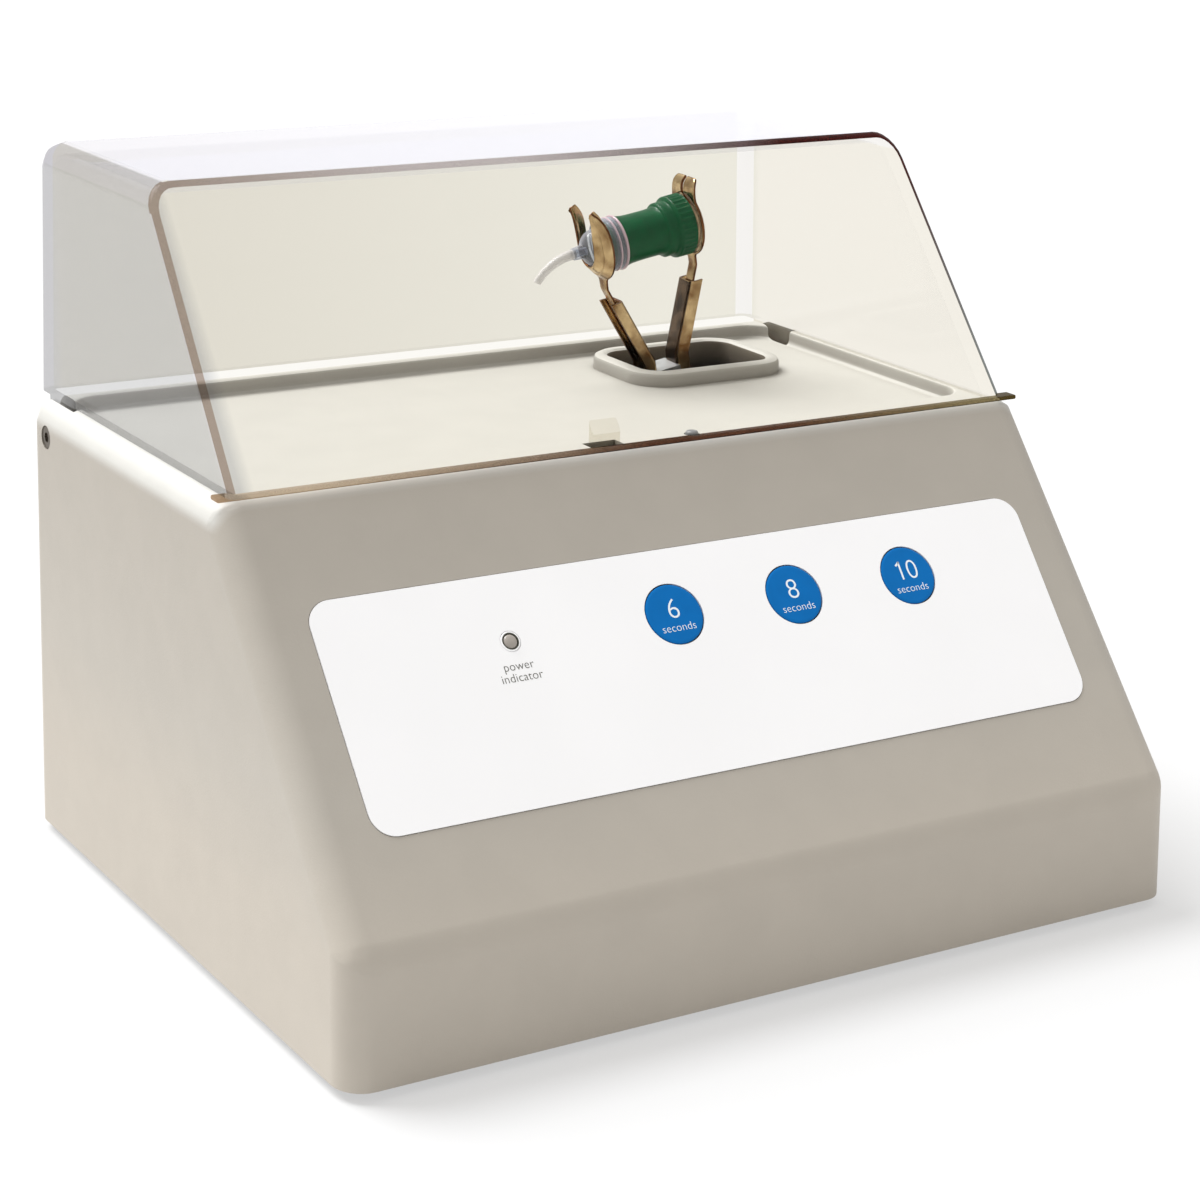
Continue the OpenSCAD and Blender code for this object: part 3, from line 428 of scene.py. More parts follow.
def clear_sheet(name, tint, mirrored, power, painted_sheen=None):
    """A see-through finish with a tint and a thin mirror, or else a plain pale layer that paints a
    sheen.
    """
    finish = Finish(name, light(255, 255, 255), 0.03)
    tree = finish.tree
    through = add(tree, "BsdfTransparent", {"Color": tinted(finish, tint)})
    skin = add(tree, "BsdfDiffuse" if painted_sheen else "BsdfGlossy", {
        "Roughness": 0.03, "Color": light(*painted_sheen or (255, 255, 255)),
    })
    seen = mixed(tree, facing_share(finish, power, 0.002, mirrored), through, skin)
    in_shadow = add(tree, "LightPath").outputs["Is Shadow Ray"]
    finish.show(mixed(tree, in_shadow, seen, add(tree, "BsdfTransparent")))
    tree.nodes.remove(finish.shader)


# Painted shade: the outer skin is greyer on the left wall and deeper towards the rear, most on the
# left, and the bends are darker on the left.
REAR_PAINTED_SHADE = ("X", -0.1, 0.08, (224, 221, 213), (240, 239, 232))
FRONT_TO_REAR_SHADE = ("Y", 0.0885, 0.0912, (246, 244, 239), REAR_PAINTED_SHADE)
LEFT_EDGE = ("X", -0.1, -0.04, (176, 162, 152), (204, 196, 196))
RIGHT_EDGE = ("Z", 0.125, 0.168, (128, 132, 130), (64, 22, 18))
LEFT_LIP = ("X", -0.09, 0.0, (206, 190, 172), (92, 62, 48))
COVER_FINISHES = {
    "cover_clear": (("X", -0.1055, -0.102, (216, 216, 216), FRONT_TO_REAR_SHADE), 0.9, 5.0),
    "cover_edge": (("X", -0.01, 0.07, LEFT_EDGE, RIGHT_EDGE), 0.5, 5.0),
    "cover_bend": (("X", -0.1, 0.02, (224, 223, 226), (249, 249, 251)), 0.5, 5.0),
    "cover_lip": (("X", 0.04, 0.1, LEFT_LIP, (140, 128, 96)), 0.4, 5.0),
    # cover_top's pale layer is a painted sheen, whiter where the top is seen at a grazing angle.
    "cover_top": ((252, 252, 255), 0.74, 3.8, (214, 214, 224)),
    "cover_inner": ((254, 254, 254), 0.9, 5.0),
}
for name, values in COVER_FINISHES.items():
    clear_sheet(name, *values)
print("finishes:", ", ".join(sorted(finishes)))

# %% [markdown]
# A CAD node keeps its shape, but not its plain colour. The record says which slot each node takes
# its finish from. Nodes that are replaced later are hidden.

# %% Dress the CAD nodes
record = frame["record"]
BODY_OF = {node: body for body, nodes in record["behaviour"]["bodies"].items() for node in nodes}
SLOT_OF = {part["node"]: part["material_slot"] for part in record["subparts"]}
for node, slot in SLOT_OF.items():
    mesh = frame["nodes"][node].data
    mesh.materials.clear()
    mesh.materials.append(finishes[slot].material)
print("dressed", len(SLOT_OF), "CAD nodes")

# %% [markdown]
# Each tool for modelling does by code what a hand does in the window: select one piece, go into
# edit mode, pick faces or edges by where they are, and run an operator on them. `settle` then
# moves the finished piece into place.


# %% Helpers for modelling
ops = bpy.ops.mesh


def mode(name):
    if bpy.context.mode != name:
        bpy.ops.object.mode_set(mode=name)


def fresh():
    mode("OBJECT")
    bpy.ops.object.select_all(action="DESELECT")


def only(piece):
    fresh()
    piece.select_set(True)
    bpy.context.view_layer.objects.active = piece
    return piece


def made():
    """The primitive that was just added, with its size and place in its mesh."""
    bpy.ops.object.transform_apply(location=True, rotation=True, scale=True)
    return bpy.context.object


def placed(piece, matrix):
    only(piece).matrix_world = matrix
    return made()


def block(low, high):
    """A box between two corners."""
    fresh()
    ops.primitive_cube_add(size=1, location=(Vector(low) + Vector(high)) / 2)
    bpy.context.object.scale = Vector(high) - Vector(low)
    return made()


def side_block(side, inner, outer, low, high):
    """A box on the left (-1) or right (1), between two distances from the middle."""
    left, right = sorted((side * inner, side * outer))
    return block((left, *low), (right, *high))


def bar(start, end, radius, sides=32):
    fresh()
    line = Vector(end) - Vector(start)
    ops.primitive_cone_add(
        vertices=sides, radius1=radius, radius2=radius, depth=line.length,
        location=(Vector(start) + Vector(end)) / 2,
        rotation=line.to_track_quat("Z", "Y").to_euler(),
    )
    return made()


def everything(action="SELECT"):
    ops.select_all(action=action)


def edit(piece, kind="FACE", action="SELECT"):
    only(piece)
    mode("EDIT")
    ops.select_mode(type=kind)
    everything(action)


def pick(piece, test, kind="FACE"):
    """Selects in edit mode what passes test(middle, direction)."""
    edit(piece, kind, "DESELECT")
    mode("OBJECT")
    mesh = piece.data
    for element, at, way in {
        "FACE": [(face, face.center, face.normal) for face in mesh.polygons],
        "EDGE": [(edge, *middle_and_way(mesh, edge)) for edge in mesh.edges],
        "VERT": [(vertex, vertex.co, vertex.normal) for vertex in mesh.vertices],
    }[kind]:
        element.select = bool(test(at, way))
    mode("EDIT")


def middle_and_way(mesh, edge):
    start, end = (mesh.vertices[i].co for i in edge.vertices)
    return (start + end) / 2, (end - start).normalized()


def scaled(factors, about=(0, 0, 0)):
    bpy.ops.transform.resize(value=factors, center_override=about)


def growth(move=(0, 0, 0), wider=(1, 1, 1), about=(0, 0, 0)):
    """Extrudes what is selected, moves it, and scales it about a point."""
    ops.extrude_region_move(TRANSFORM_OT_translate={"value": move})
    scaled(wider, about)


def closed(piece):
    everything()
    ops.normals_make_consistent(inside=False)
    mode("OBJECT")
    return piece


def apply(piece, kind, **settings):
    modifier = tuned(only(piece).modifiers.new(kind.lower(), kind), **settings)
    bpy.ops.object.modifier_apply(modifier=modifier.name)
    return piece


def combine(how, piece, others):
    """Cuts or adds other solids, one after another, and removes them."""
    for other in others:
        apply(piece, "BOOLEAN", operation=how, object=other, solver="EXACT")
        bpy.data.objects.remove(other)
    return piece


def cut(piece, *others):
    return combine("DIFFERENCE", piece, others)


def fuse(piece, *others):
    return combine("UNION", piece, others)


def join(first, *others):
    only(first)
    for other in others:
        other.select_set(True)
    bpy.ops.object.join()
    return first


def soften(piece, width_of, widest, segments=6):
    """Bevels each edge by width_of(middle, direction), up to the widest."""
    mesh = only(piece).data
    weights = mesh.attributes.new("bevel_weight_edge", "FLOAT", "EDGE")
    for edge in mesh.edges:
        weights.data[edge.index].value = width_of(*middle_and_way(mesh, edge)) / widest
    apply(piece, "BEVEL", limit_method="WEIGHT", width=widest, segments=segments)
    mesh.attributes.remove(mesh.attributes["bevel_weight_edge"])
    return piece


def blunt(piece, width, steepest=50, segments=2):
    """Bevels every edge that is steeper than an angle."""
    return apply(piece, "BEVEL", limit_method="ANGLE", angle_limit=math.radians(steepest),
                 width=width, segments=segments)


def stack(low, high, corner, levels, segments=8):
    """A rounded rectangle between two corners of a plan, raised through (grow, height) levels."""
    fresh()
    middle = (Vector(low) + Vector(high)) / 2
    half = (Vector(high) - Vector(low)) / 2
    grown, height = levels[0]
    ops.primitive_plane_add(size=2, location=(*middle, height))
    bpy.context.object.scale = (half.x + grown, half.y + grown, 1)
    piece = made()
    edit(piece, "VERT")
    ops.bevel(offset=corner + grown, segments=segments, affect="VERTICES")
    everything()
    for (grow, height), (next_grow, next_height) in zip(levels, levels[1:]):
        wider = [(side + next_grow) / (side + grow) for side in half]
        growth((0, 0, next_height - height), (*wider, 1), (*middle, 0))
    return closed(piece)


def paint(piece, names, number_of=lambda at, way: 0):
    """Gives a piece finishes, and each face the one whose number number_of gives."""
    for name in names:
        piece.data.materials.append(finishes[name].material)
    for face in piece.data.polygons:
        face.material_index = number_of(face.center, face.normal)
    return piece


def settle(piece, name, place, node=None, body=None, slot=None, angle=32):
    """Puts a piece in its place, shades it, and ties it to its node's body and slot."""
    body, slot = body or BODY_OF[node], slot or SLOT_OF[node]
    placed(piece, place)
    piece.name = piece.data.name = name
    if not piece.data.materials:
        piece.data.materials.append(finishes[slot].material)
    bpy.ops.object.shade_smooth_by_angle(angle=math.radians(angle))
    apply(piece, "WEIGHTED_NORMAL", keep_sharp=True)
    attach(piece, body)
    if node:
        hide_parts(node)
    print(name, "has", len(piece.data.polygons), "faces")


# %% [markdown]
# The housing starts as a block. A cut at the crease and a push on the deck's front edge make the
# wedge. Every edge gets its own radius through bevel weights, and Solidify turns the skin into a
# 3 mm wall, open below.

# %% Housing: the wedge
BASE_W, DECK_W, WALL = 230.0, 226.0, 3.0


def width_at(z):
    return BASE_W + (DECK_W - BASE_W) * z / DECK_H


housing = block((-BASE_W / 2, 0, 0), (BASE_W / 2, BODY_D, DECK_H))
edit(housing)
ops.bisect(plane_co=(0, 0, CREASE.z), plane_no=(0, 0, 1))
for height, back in ((DECK_H, DECK_FRONT), (CREASE.z, CREASE.y)):
    pick(housing, lambda at, way: abs(at.z - height) < 0.1, "VERT")
    scaled((width_at(height) / BASE_W, 1, 1))
    pick(housing, lambda at, way: abs(at.z - height) < 0.1 and at.y < 1, "VERT")
    bpy.ops.transform.translate(value=(0, back, 0))
pick(housing, lambda at, way: way.z < -0.9)
ops.delete(type="FACE")


def housing_radius(at, way):
    """How wide each edge of the wedge is bevelled."""
    if abs(at.x) > BASE_W / 4 and abs(way.x) < 0.1 and abs(way.z) > 0.5:
        return 7.0
    if abs(at.z - CREASE.z) < 0.1 and at.y < 2:
        return 4.0
    if abs(at.z - DECK_H) < 0.1:
        return 1.6 if at.y < DECK_FRONT + 1 else 6.0
    return 0.0


soften(housing, housing_radius, 7.0, 8)
apply(housing, "SOLIDIFY", thickness=WALL, offset=-1, use_even_offset=True)
print("housing skin:", len(housing.data.polygons), "faces")

# %% [markdown]
# The deck holds a shallow tray, and in it stands a collar round the opening for the fork. The
# small radii at a recess's floor and rim are built into the cutter, a rounded rectangle that is
# pushed up level by level. The collar's form is taken out of the cutter first, so it stays
# standing. A floor for the tray and two hinge blocks are added below.

# %% Housing: tray, collar and opening
TRAY = ((-106, 82), (106, 177))
TRAY_FLOOR = 109.0
OPENING = ((44, 138), (83, 165))
CORNER, COLLAR_W = 6, 4.0
RIM = 0.9

pan = stack((-109, 79), (109, 180), 12, [(0, TRAY_FLOOR - WALL), (0, DECK_H - 1.5)])
collar_foot = stack(*OPENING, CORNER + COLLAR_W, [
    (COLLAR_W, 101), (COLLAR_W, TRAY_FLOOR + 1),
])
hinge_blocks = [side_block(side, 100.5, 110.5, (162.5, 94.5), (182.2, 110.2)) for side in (-1, 1)]
fuse(housing, pan, collar_foot, *hinge_blocks)

recess = stack(*TRAY, 10, [
    (-1.6, TRAY_FLOOR), (-0.7, TRAY_FLOOR + 0.2), (-0.2, TRAY_FLOOR + 0.7), (0, TRAY_FLOOR + 1.6),
    (0, DECK_H - RIM), (0.25, DECK_H - 0.35), (RIM, DECK_H + 0.02), (RIM, DECK_H + 2),
])
cut(recess, stack(*OPENING, CORNER, [
    (COLLAR_W, TRAY_FLOOR - 1), (COLLAR_W, TRAY_FLOOR), (COLLAR_W, DECK_H - 1.5),
    (COLLAR_W - 0.3, DECK_H - 0.6), (COLLAR_W - 1.1, DECK_H - 0.12), (0, DECK_H - 0.1),
]))
way_through = stack(*OPENING, CORNER, [
    (0, 95), (0, DECK_H - 1.4), (0.25, DECK_H - 0.6), (1.0, DECK_H - 0.08), (1.0, DECK_H + 2),
])
cut(housing, recess, way_through)

# %% [markdown]
# The rest are windows and holes: the film's bed, seats for the buttons and the lamp, slots for
# the cover's ears and catch, and the rear panel's windows and vents. The ones on the slope are
# made in its own frame and turned into place. The opening's walls then get a painted shade.

# %% Housing: beds, slots and vents
BUTTONS = {"6": -8.4, "8": 25.6, "10": 59.6}
BUTTON_UP, LAMP_X = 65.0, -52.4
HINGE = Vector((0, 172.5, 104.5))
PLUNGER = Vector((17, 76.5, DECK_H - WALL - 6.7))
INLET_X, ROCKER_X = -82.0, -44.0
REAR_Z, FUSE_Z = 30.0, 54.0
REAR_IN, REAR_OUT = 178, 190

on_slope = [stack((-99.2, 25.3), (99.2, 81.7), 6.2, [(0, -0.3), (0, 5)])]
for x, low, high, radius, sides in (
    *[row for x in BUTTONS.values() for row in ((x, -1.5, 3, 7.8, 64), (x, -8, -1, 2.7, 24))],
    (LAMP_X, -8, 3, 2.6, 48),
):
    on_slope.append(bar((x, BUTTON_UP, low), (x, BUTTON_UP, high), radius, sides))
cut(housing, *[placed(cutter, slope_place) for cutter in on_slope])

holes = [
    bar((*PLUNGER.xy, 100), (*PLUNGER.xy, 115), 1.95),
    block((-12.2, 75, 100), (-3, 80, 115)),
    *[block((x - half_w, REAR_IN, REAR_Z - half_h), (x + half_w, REAR_OUT, REAR_Z + half_h))
      for x, half_w, half_h in ((INLET_X, 13.8, 10.2), (ROCKER_X, 9.7, 6.7))],
    bar((INLET_X, REAR_IN, FUSE_Z), (INLET_X, REAR_OUT, FUSE_Z), 6.2, 48),
]
for side in (-1, 1):
    holes.append(side_block(side, 104.9, 109.1, (163.4, 90.5), (REAR_OUT, 116)))
    holes.append(bar((side * 111.9, *HINGE.yz), (side * 120, *HINGE.yz), 3.02, 40))
upright = shift(0, REAR_OUT, 0) @ spin(math.pi / 2, "X")
for x in range(20, 92, 8):
    vent = stack((x, 24), (x + 3, 60), 1.45, [(0, 0), (0, 12)], 5)
    holes.append(placed(vent, upright))
blunt(cut(housing, *holes), 0.3, 48)


def shaded_opening_walls(at, way):
    """1 on the opening's walls below its rim, which get painted shade, and 0 elsewhere."""
    around = all(OPENING[0][k] - 0.6 < at[k] < OPENING[1][k] + 0.6 for k in range(2))
    return 1 if around and at.z < DECK_H - 0.7 and abs(way.z) < 0.7 else 0


# The opening's walls below the rim get the painted shade.
paint(housing, ("housing_plastic", "housing_painted_shade"), shaded_opening_walls)
settle(housing, "housing_shell", housing_frame, "housing")

# %% [markdown]
# The cover's top and sides are one bent sheet with wide soft edges, and its raked front is set in
# with tight ones. The bends are made first and the front's rim second, so that the front keeps
# round corners. A smaller hood, made the same way, is cut out for the space inside.

# %% Clear cover
COVER_W, COVER_TOP_W = 217.0, 213.0
COVER_LOW, COVER_TOP = 113.3, 176.0
COVER_RAKE, COVER_WALL = 50.0, 3.0
CLEAR, EDGE, BEND, LIP, TOP, INNER = range(len(COVER_FINISHES))
FRONT_NORMAL = Vector((0, COVER_LOW - COVER_TOP, COVER_RAKE)).normalized()


def outer_kind(at, way):
    """The finish of each face of the hood's outer form."""
    if way.z > 0.985 and at.z > 160:
        return TOP
    if 0.3 < way.dot(FRONT_NORMAL) < 0.999 and at.y < 150 and abs(way.z) < 0.97:
        return EDGE
    side_bend = 0.12 < abs(way.x) < 0.985
    return BEND if side_bend and (way.z > 0.12 or way.y > 0.12) else CLEAR


def hood(inset, low, kind):
    """The cover's form as a closed solid, smaller by inset, from a height upwards."""
    lean = COVER_RAKE / (COVER_TOP - COVER_LOW)
    top = COVER_TOP - inset
    front = DECK_FRONT + inset * math.sqrt(1 + lean * lean) + (low - COVER_LOW) * lean
    narrow = (COVER_W - COVER_TOP_W) / 2 / (COVER_TOP - COVER_LOW)
    wide = COVER_W / 2 - inset - (low - COVER_LOW) * narrow
    form = block((-wide, front, low), (wide, OVERALL_D - inset, top))
    pick(form, lambda at, way: at.z > top - 1, "VERT")
    scaled((1 - narrow * (top - low) / wide, 1, 1))
    pick(form, lambda at, way: at.z > top - 1 and at.y < front + 1, "VERT")
    bpy.ops.transform.translate(value=(0, lean * (top - low), 0))

    def bend(at, way):
        if at.z < low + 1 or at.y < front + 0.5 * lean * (top - low) + 1:
            return 0.0
        if abs(way.y) > 0.9:
            return 6.5 - inset
        return 4.0 - inset if at.y > OVERALL_D - 8 else 0.0

    def front_rim(at, way):
        off = (at - Vector((0, front, low))).dot(FRONT_NORMAL)
        in_front = abs(off) < 0.02 and abs(way.dot(FRONT_NORMAL)) < 0.02
        return 1.7 - inset * 0.4 if in_front and at.z > low + 1 else 0.0

    soften(form, bend, 6.5, 6)
    soften(form, front_rim, 1.7, 4)
    return paint(form, COVER_FINISHES, kind)


cover = hood(0, COVER_LOW, outer_kind)
cut(cover, hood(COVER_WALL, COVER_LOW - 6, lambda at, way: INNER))
print("cover skin:", len(cover.data.polygons), "faces")

# %% [markdown]
# A thin lip runs along the cover's lower front, with a tab that catches in the deck. Two ears
# reach down into their slots and are bored for the hinge pins.

# %% Cover: lip, ears, catch and pin holes
lip = block((-112, 69, COVER_LOW), (112, 73, COVER_LOW + 1.15))
soften(lip, lambda at, way: 0.35, 0.35, 2)
catch = block((-11.5, 76, 109), (-3.7, 78.4, 120))
soften(catch, lambda at, way: 0.5, 0.5, 2)
ears, bores = [], []
for side in (-1, 1):
    inner, outer = sorted((side * 105.5, side * 108.5))
    ear = bar((inner, *HINGE.yz), (outer, *HINGE.yz), 8.5, 64)
    web = block((inner, HINGE.y - 8.4, HINGE.z), (outer, HINGE.y + 8.4, COVER_LOW + 2))
    ears.append(paint(fuse(ear, web), COVER_FINISHES))
    bore = bar((side * 100, *HINGE.yz), (side * 112, *HINGE.yz), 2.06)
    bores.append(paint(bore, COVER_FINISHES))
paint(lip, COVER_FINISHES, lambda at, way: LIP)
fuse(cover, lip, paint(catch, COVER_FINISHES), *ears)
cut(cover, *bores)
settle(cover, "clear_cover", housing_frame, "cover", angle=40)

# %% [markdown]
# Pins, screws, feet and the capsule are turned round a line. `turned` starts from a disc and
# pushes it up through a list of radii and heights, as one would draw a vase.


# %% Helpers for turned and repeated pieces
def turned(levels, sides=48):
    """A closed round piece along Z through (radius, height) levels."""
    fresh()
    radius, height = levels[0]
    ops.primitive_circle_add(
        vertices=sides, radius=radius, fill_type="NGON", location=(0, 0, height)
    )
    piece = made()
    edit(piece, "VERT")
    for (radius, height), (next_radius, next_height) in zip(levels, levels[1:]):
        wider = next_radius / radius
        growth((0, 0, next_height - height), (wider, wider, 1))
    return closed(piece)


def shifts(*places):
    return [shift(*place) for place in places]


def repeated(piece, places):
    """One object out of a piece copied to each place."""
    copies = []
    for place in places:
        copy = piece.copy()
        copy.data = piece.data.copy()
        scene.collection.objects.link(copy)
        copies.append(placed(copy, place))
    bpy.data.objects.remove(piece)
    return join(*copies)


# %% [markdown]
# The three buttons are discs that lie in round beds, a hair proud of the film. Each one is a
# piece of its own, as each moves on its own.

# %% Buttons
BUTTON_TOP, FILM_TOP = 0.3, 0.2
for label, x in BUTTONS.items():
    button = turned([
        (2.4, -9.2), (2.4, -0.72), (7.2, -0.7), (7.42, -0.6), (7.5, -0.4), (7.5, 0.05), (7.42, 0.2),
        (7.25, 0.28), (6.8, BUTTON_TOP),
    ], 72)
    place = slope_frame @ shift(x, BUTTON_UP, 0)
    settle(button, f"button_{label}_disc", place, f"button_{label}")

# %% [markdown]
# The numbers and words are text turned into thin flat meshes, a few hundredths of a millimetre
# proud, so that they never share a plane with what is below them. The figure 1 gets a slanted
# flag.


# %% Print on the buttons and the film
def printed(words, high, x, up, proud, name, body, slot, colour, spread=1.0):
    """Words centred on a place on the slope, with capitals of a height."""
    fresh()
    bpy.ops.object.text_add()
    piece = bpy.context.object
    tuned(piece.data, body=words, align_x="CENTER", align_y="CENTER", size=high / 0.7,
          space_character=spread, offset=-0.02 * high, extrude=0.015, resolution_u=5)
    bpy.ops.object.convert(target="MESH")
    if words.startswith("1"):
        left = min(vertex.co.x for vertex in piece.data.vertices)
        top = max(vertex.co.y for vertex in piece.data.vertices)
        corner = shift(left + 0.3, top, 0) @ spin(0.6, "Z")
        piece = join(piece, placed(block((-1.5, -0.5, -0.015), (0, 0, 0.015)), corner))
    piece.data.materials.clear()
    place = slope_frame @ shift(x, up, proud + 0.02)
    settle(paint(piece, [colour]), name, place, body=body, slot=slot, angle=20)


for label, x in BUTTONS.items():
    where = (f"button_{label}_body", "panel_film", "print_white")
    printed(label, 5.1, x, BUTTON_UP + 1.1, BUTTON_TOP, f"number_{label}", *where, 0.92)
    printed("seconds", 2.0, x, BUTTON_UP - 3.5, BUTTON_TOP, f"seconds_{label}", *where, 1.02)
for words, down in (("power", 6.1), ("indicator", 8.9)):
    printed(words, 2.1, LAMP_X, BUTTON_UP - down, FILM_TOP, f"lamp_word_{words}", "root",
            "grey_plastic", "print_grey")

# %% [markdown]
# The lamp is a domed lens in a thin ring, which is turned solid and bored. The ring is white like
# the film, and only its inner edge is dark.

# %% Lamp
lamp_place = slope_frame @ shift(LAMP_X, BUTTON_UP, 0)
ring = turned([
    (2.45, -2), (2.5, -1.9), (2.5, 0.12), (2.42, 0.24), (2.25, 0.28), (2.1, 0.28), (1.95, 0.24),
])
cut(ring, bar((0, 0, -3), (0, 0, 2), 1.82, 48))
paint(ring, ("panel_film", "ring_grey"), lambda at, way: 1 if at.xy.length < 2.09 else 0)
settle(ring, "lamp_ring", lamp_place, "lamp_bezel")
lens = turned([
    (1.7, -13.5), (1.75, -13.3), (1.75, 0), (1.66, 0.2), (1.42, 0.42), (1.0, 0.6), (0.5, 0.69),
    (0.12, 0.71),
], 40)
settle(lens, "lamp_dome", lamp_place, "lamp_lens")

# %% [markdown]
# Hinge pins join the cover to the housing, and their heads sit flush in the sides. The interlock
# plunger is a thin rod that the cover's edge pushes down.

# %% Hinge pins and plunger
flush = width_at(HINGE.z) / 2
pin = turned([
    (1.9, 100.5), (2.0, 100.7), (2.0, flush - 1.15), (3.0, flush - 1.1), (3.0, flush - 0.45),
    (2.85, flush - 0.25), (2.5, flush - 0.2),
], 40)
cut(pin, bar((0, 0, flush - 0.7), (0, 0, flush + 1), 1.4, 6))
paint(pin, ["dark_pin"])
at_hinge = shift(0, HINGE.y, HINGE.z)
pins = repeated(pin, [at_hinge @ spin(s * math.pi / 2, "Y") for s in (-1, 1)])
settle(pins, "hinge_pin_pair", housing_frame, "hinge_pins")

plunger = turned([
    (1.45, 0), (1.6, 0.2), (1.6, 9.9), (1.52, 10.2), (1.3, 10.45), (0.9, 10.58), (0.4, 10.6),
], 32)
settle(plunger, "plunger_rod", housing_frame @ shift(*PLUNGER), "interlock_plunger")

# %% [markdown]
# The fork's legs are pressed channels, straight at first and then splayed. A block is pushed on
# along the splay, its open side and ends are deleted, the two long corners are rounded, and
# Solidify gives the rest the thickness of spring sheet. The right leg's web gets a painted dark
# reflection.

# %% Channel legs
SHEET = 0.8
LEG_HALF, LEG_BEND = 3.4, 44
LEG_SPLAY = math.tan(math.radians(21))


def sheeted(piece):
    """Gives a skin the thickness of spring sheet, with brown cut edges."""
    paint(piece, ("spring_steel", "spring_edge"))
    return apply(piece, "SOLIDIFY", thickness=SHEET, offset=0, use_even_offset=True,
                 material_offset_rim=1)


def channel_leg(side):
    """A leg in the journal's frame, with its open side away from the middle."""
    leg = side_block(side, LEG_HALF, 6.8, (-LEG_HALF, 20), (LEG_HALF, LEG_BEND))
    pick(leg, lambda at, way: way.z > 0.9)
    growth((side * 19 * LEG_SPLAY, 0, 19))
    pick(leg, lambda at, way: abs(way.z) > 0.9 or way.x * side > 0.8)
    ops.delete(type="FACE")

    def corner(at, way):
        inside = abs(at.x) < 3.5 + max(0, at.z - LEG_BEND) * LEG_SPLAY + 0.3
        return 1.0 if abs(abs(at.y) - LEG_HALF) < 0.01 and inside and abs(way.z) > 0.5 else 0.0

    soften(leg, corner, 1.0, 4)
    edit(leg)
    blunt(sheeted(closed(leg)), 0.16)
    # The right leg's inner web faces get the painted dark reflection.
    leg.data.materials.append(finishes["spring_dark_reflection"].material)
    for face in leg.data.polygons:
        if side > 0 and face.normal.x < -0.75:
            face.material_index = 2
    return leg


for side, name in ((-1, "left"), (1, "right")):
    settle(channel_leg(side), f"{name}_channel", journal_frame, f"{name}_leg", angle=40)

# %% [markdown]
# Round-headed screws hold the legs. The head is domed, and a cross is cut into it with two bars.


# %% Leg screws
def round_screw(head_r, head_h, shank_r, shank_l, cross):
    """A round-headed screw that looks up along Z, with its head on Z = 0."""
    screw = turned([
        (shank_r * 0.8, -shank_l), (shank_r, -shank_l + 0.3), (shank_r, 0), (head_r * 0.97, 0.01),
        (head_r, head_h * 0.3), (head_r * 0.88, head_h * 0.68), (head_r * 0.62, head_h * 0.92),
        (head_r * 0.3, head_h),
    ], 32)
    floor_z = head_h - head_h * 0.45
    for wide, long in ((cross, head_r * 1.1), (head_r * 1.1, cross)):
        cut(screw, block((-wide / 2, -long / 2, floor_z), (wide / 2, long / 2, head_h + 1)))
    return screw


leg_screws = repeated(round_screw(1.9, 1.35, 1.0, 3.6, 0.5), [
    shift(side * 4.3, 0, up) @ spin(side * math.pi / 2, "Y")
    for side in (-1, 1) for up in (26, 37)
])
settle(leg_screws, "leg_screw_set", journal_frame, "leg_screws")

# %% [markdown]
# Each fork is one pressed strip: a blade that comes out of the leg, and a dished head. The left
# head is open at the top, so that the capsule's dome can drop in between two tines. Its bowl is a
# half circle whose edge is pushed outwards ring by ring, with a pressed crease on the way. The
# two ends are drawn up into tines that curl away, and a few edges at the bottom down into the
# blade. Solidify and a subdivision round the sheet's edges off.


# %% Left fork
def circle_across(radius, along, **settings):
    fresh()
    ops.primitive_circle_add(
        radius=radius, location=(along, 0, 0), rotation=(0, math.pi / 2, 0), **settings
    )
    return made()


def bladed(piece, side):
    """Draws the lowest edges of a head down into a blade and gives it its thickness."""
    pick(piece, lambda at, way: at.z < -5 and abs(at.yz.length - HEAD_R) < 0.06
         and abs(at.y) < 2.4, "EDGE")
    growth((side * 0.05, 0, 0), (1, 0.95, 0.4), (0, 0, -10.9))
    growth((0, 0, -0.9), (1, 0.96, 0), (0, 0, -11.4))
    for (along, up), (next_along, next_up) in zip(BLADE, BLADE[1:]):
        growth((side * (next_along - along), 0, next_up - up))
    everything()
    ops.remove_doubles(threshold=0.001)
    apply(sheeted(closed(piece)), "SUBSURF", levels=1, render_levels=1)
    print("fork sheet:", len(piece.data.polygons), "faces")


CAPSULE_UP = 78.4
HEAD_R = 9
BOWL = [
    (4.3, -17.3), (5.0, -16.85), (5.7, -16.15), (6.15, -15.9), (6.5, -14.2), (7.0, -15.15),
    (7.6, -14.5), (8.3, -13.85), (8.65, -13.62), (HEAD_R, -13.6),
]
TINE = [
    (0, 4.3, 9.0), (3.2, 4.5, 8.75), (6.0, 4.8, 7.95), (8.2, 5.05, 7.1), (9.8, 5.3, 6.6),
    (10.6, 5.45, 6.2), (11.0, 5.55, 5.95),
]
LEAN = [(0.0, 1.0), (0.0, 0.92), (-0.15, 0.8), (-0.45, 0.7), (-0.45, 0.55), (-0.25, 0.45)]
BLADE = [
    (13.66, -11.4), (13.66, -11.7), (13.1, -13.1), (5.45, -33.0), (4.97, -34.6), (4.957, -36.4),
]
left_fork = circle_across(*BOWL[0], vertices=48)
pick(left_fork, lambda at, way: at.z > 0.01, "VERT")
ops.delete(type="VERT")
edit(left_fork, "EDGE")
for (radius, along), (next_radius, next_along) in zip(BOWL, BOWL[1:]):
    wider = next_radius / radius
    growth((next_along - along, 0, 0), (1, wider, wider))
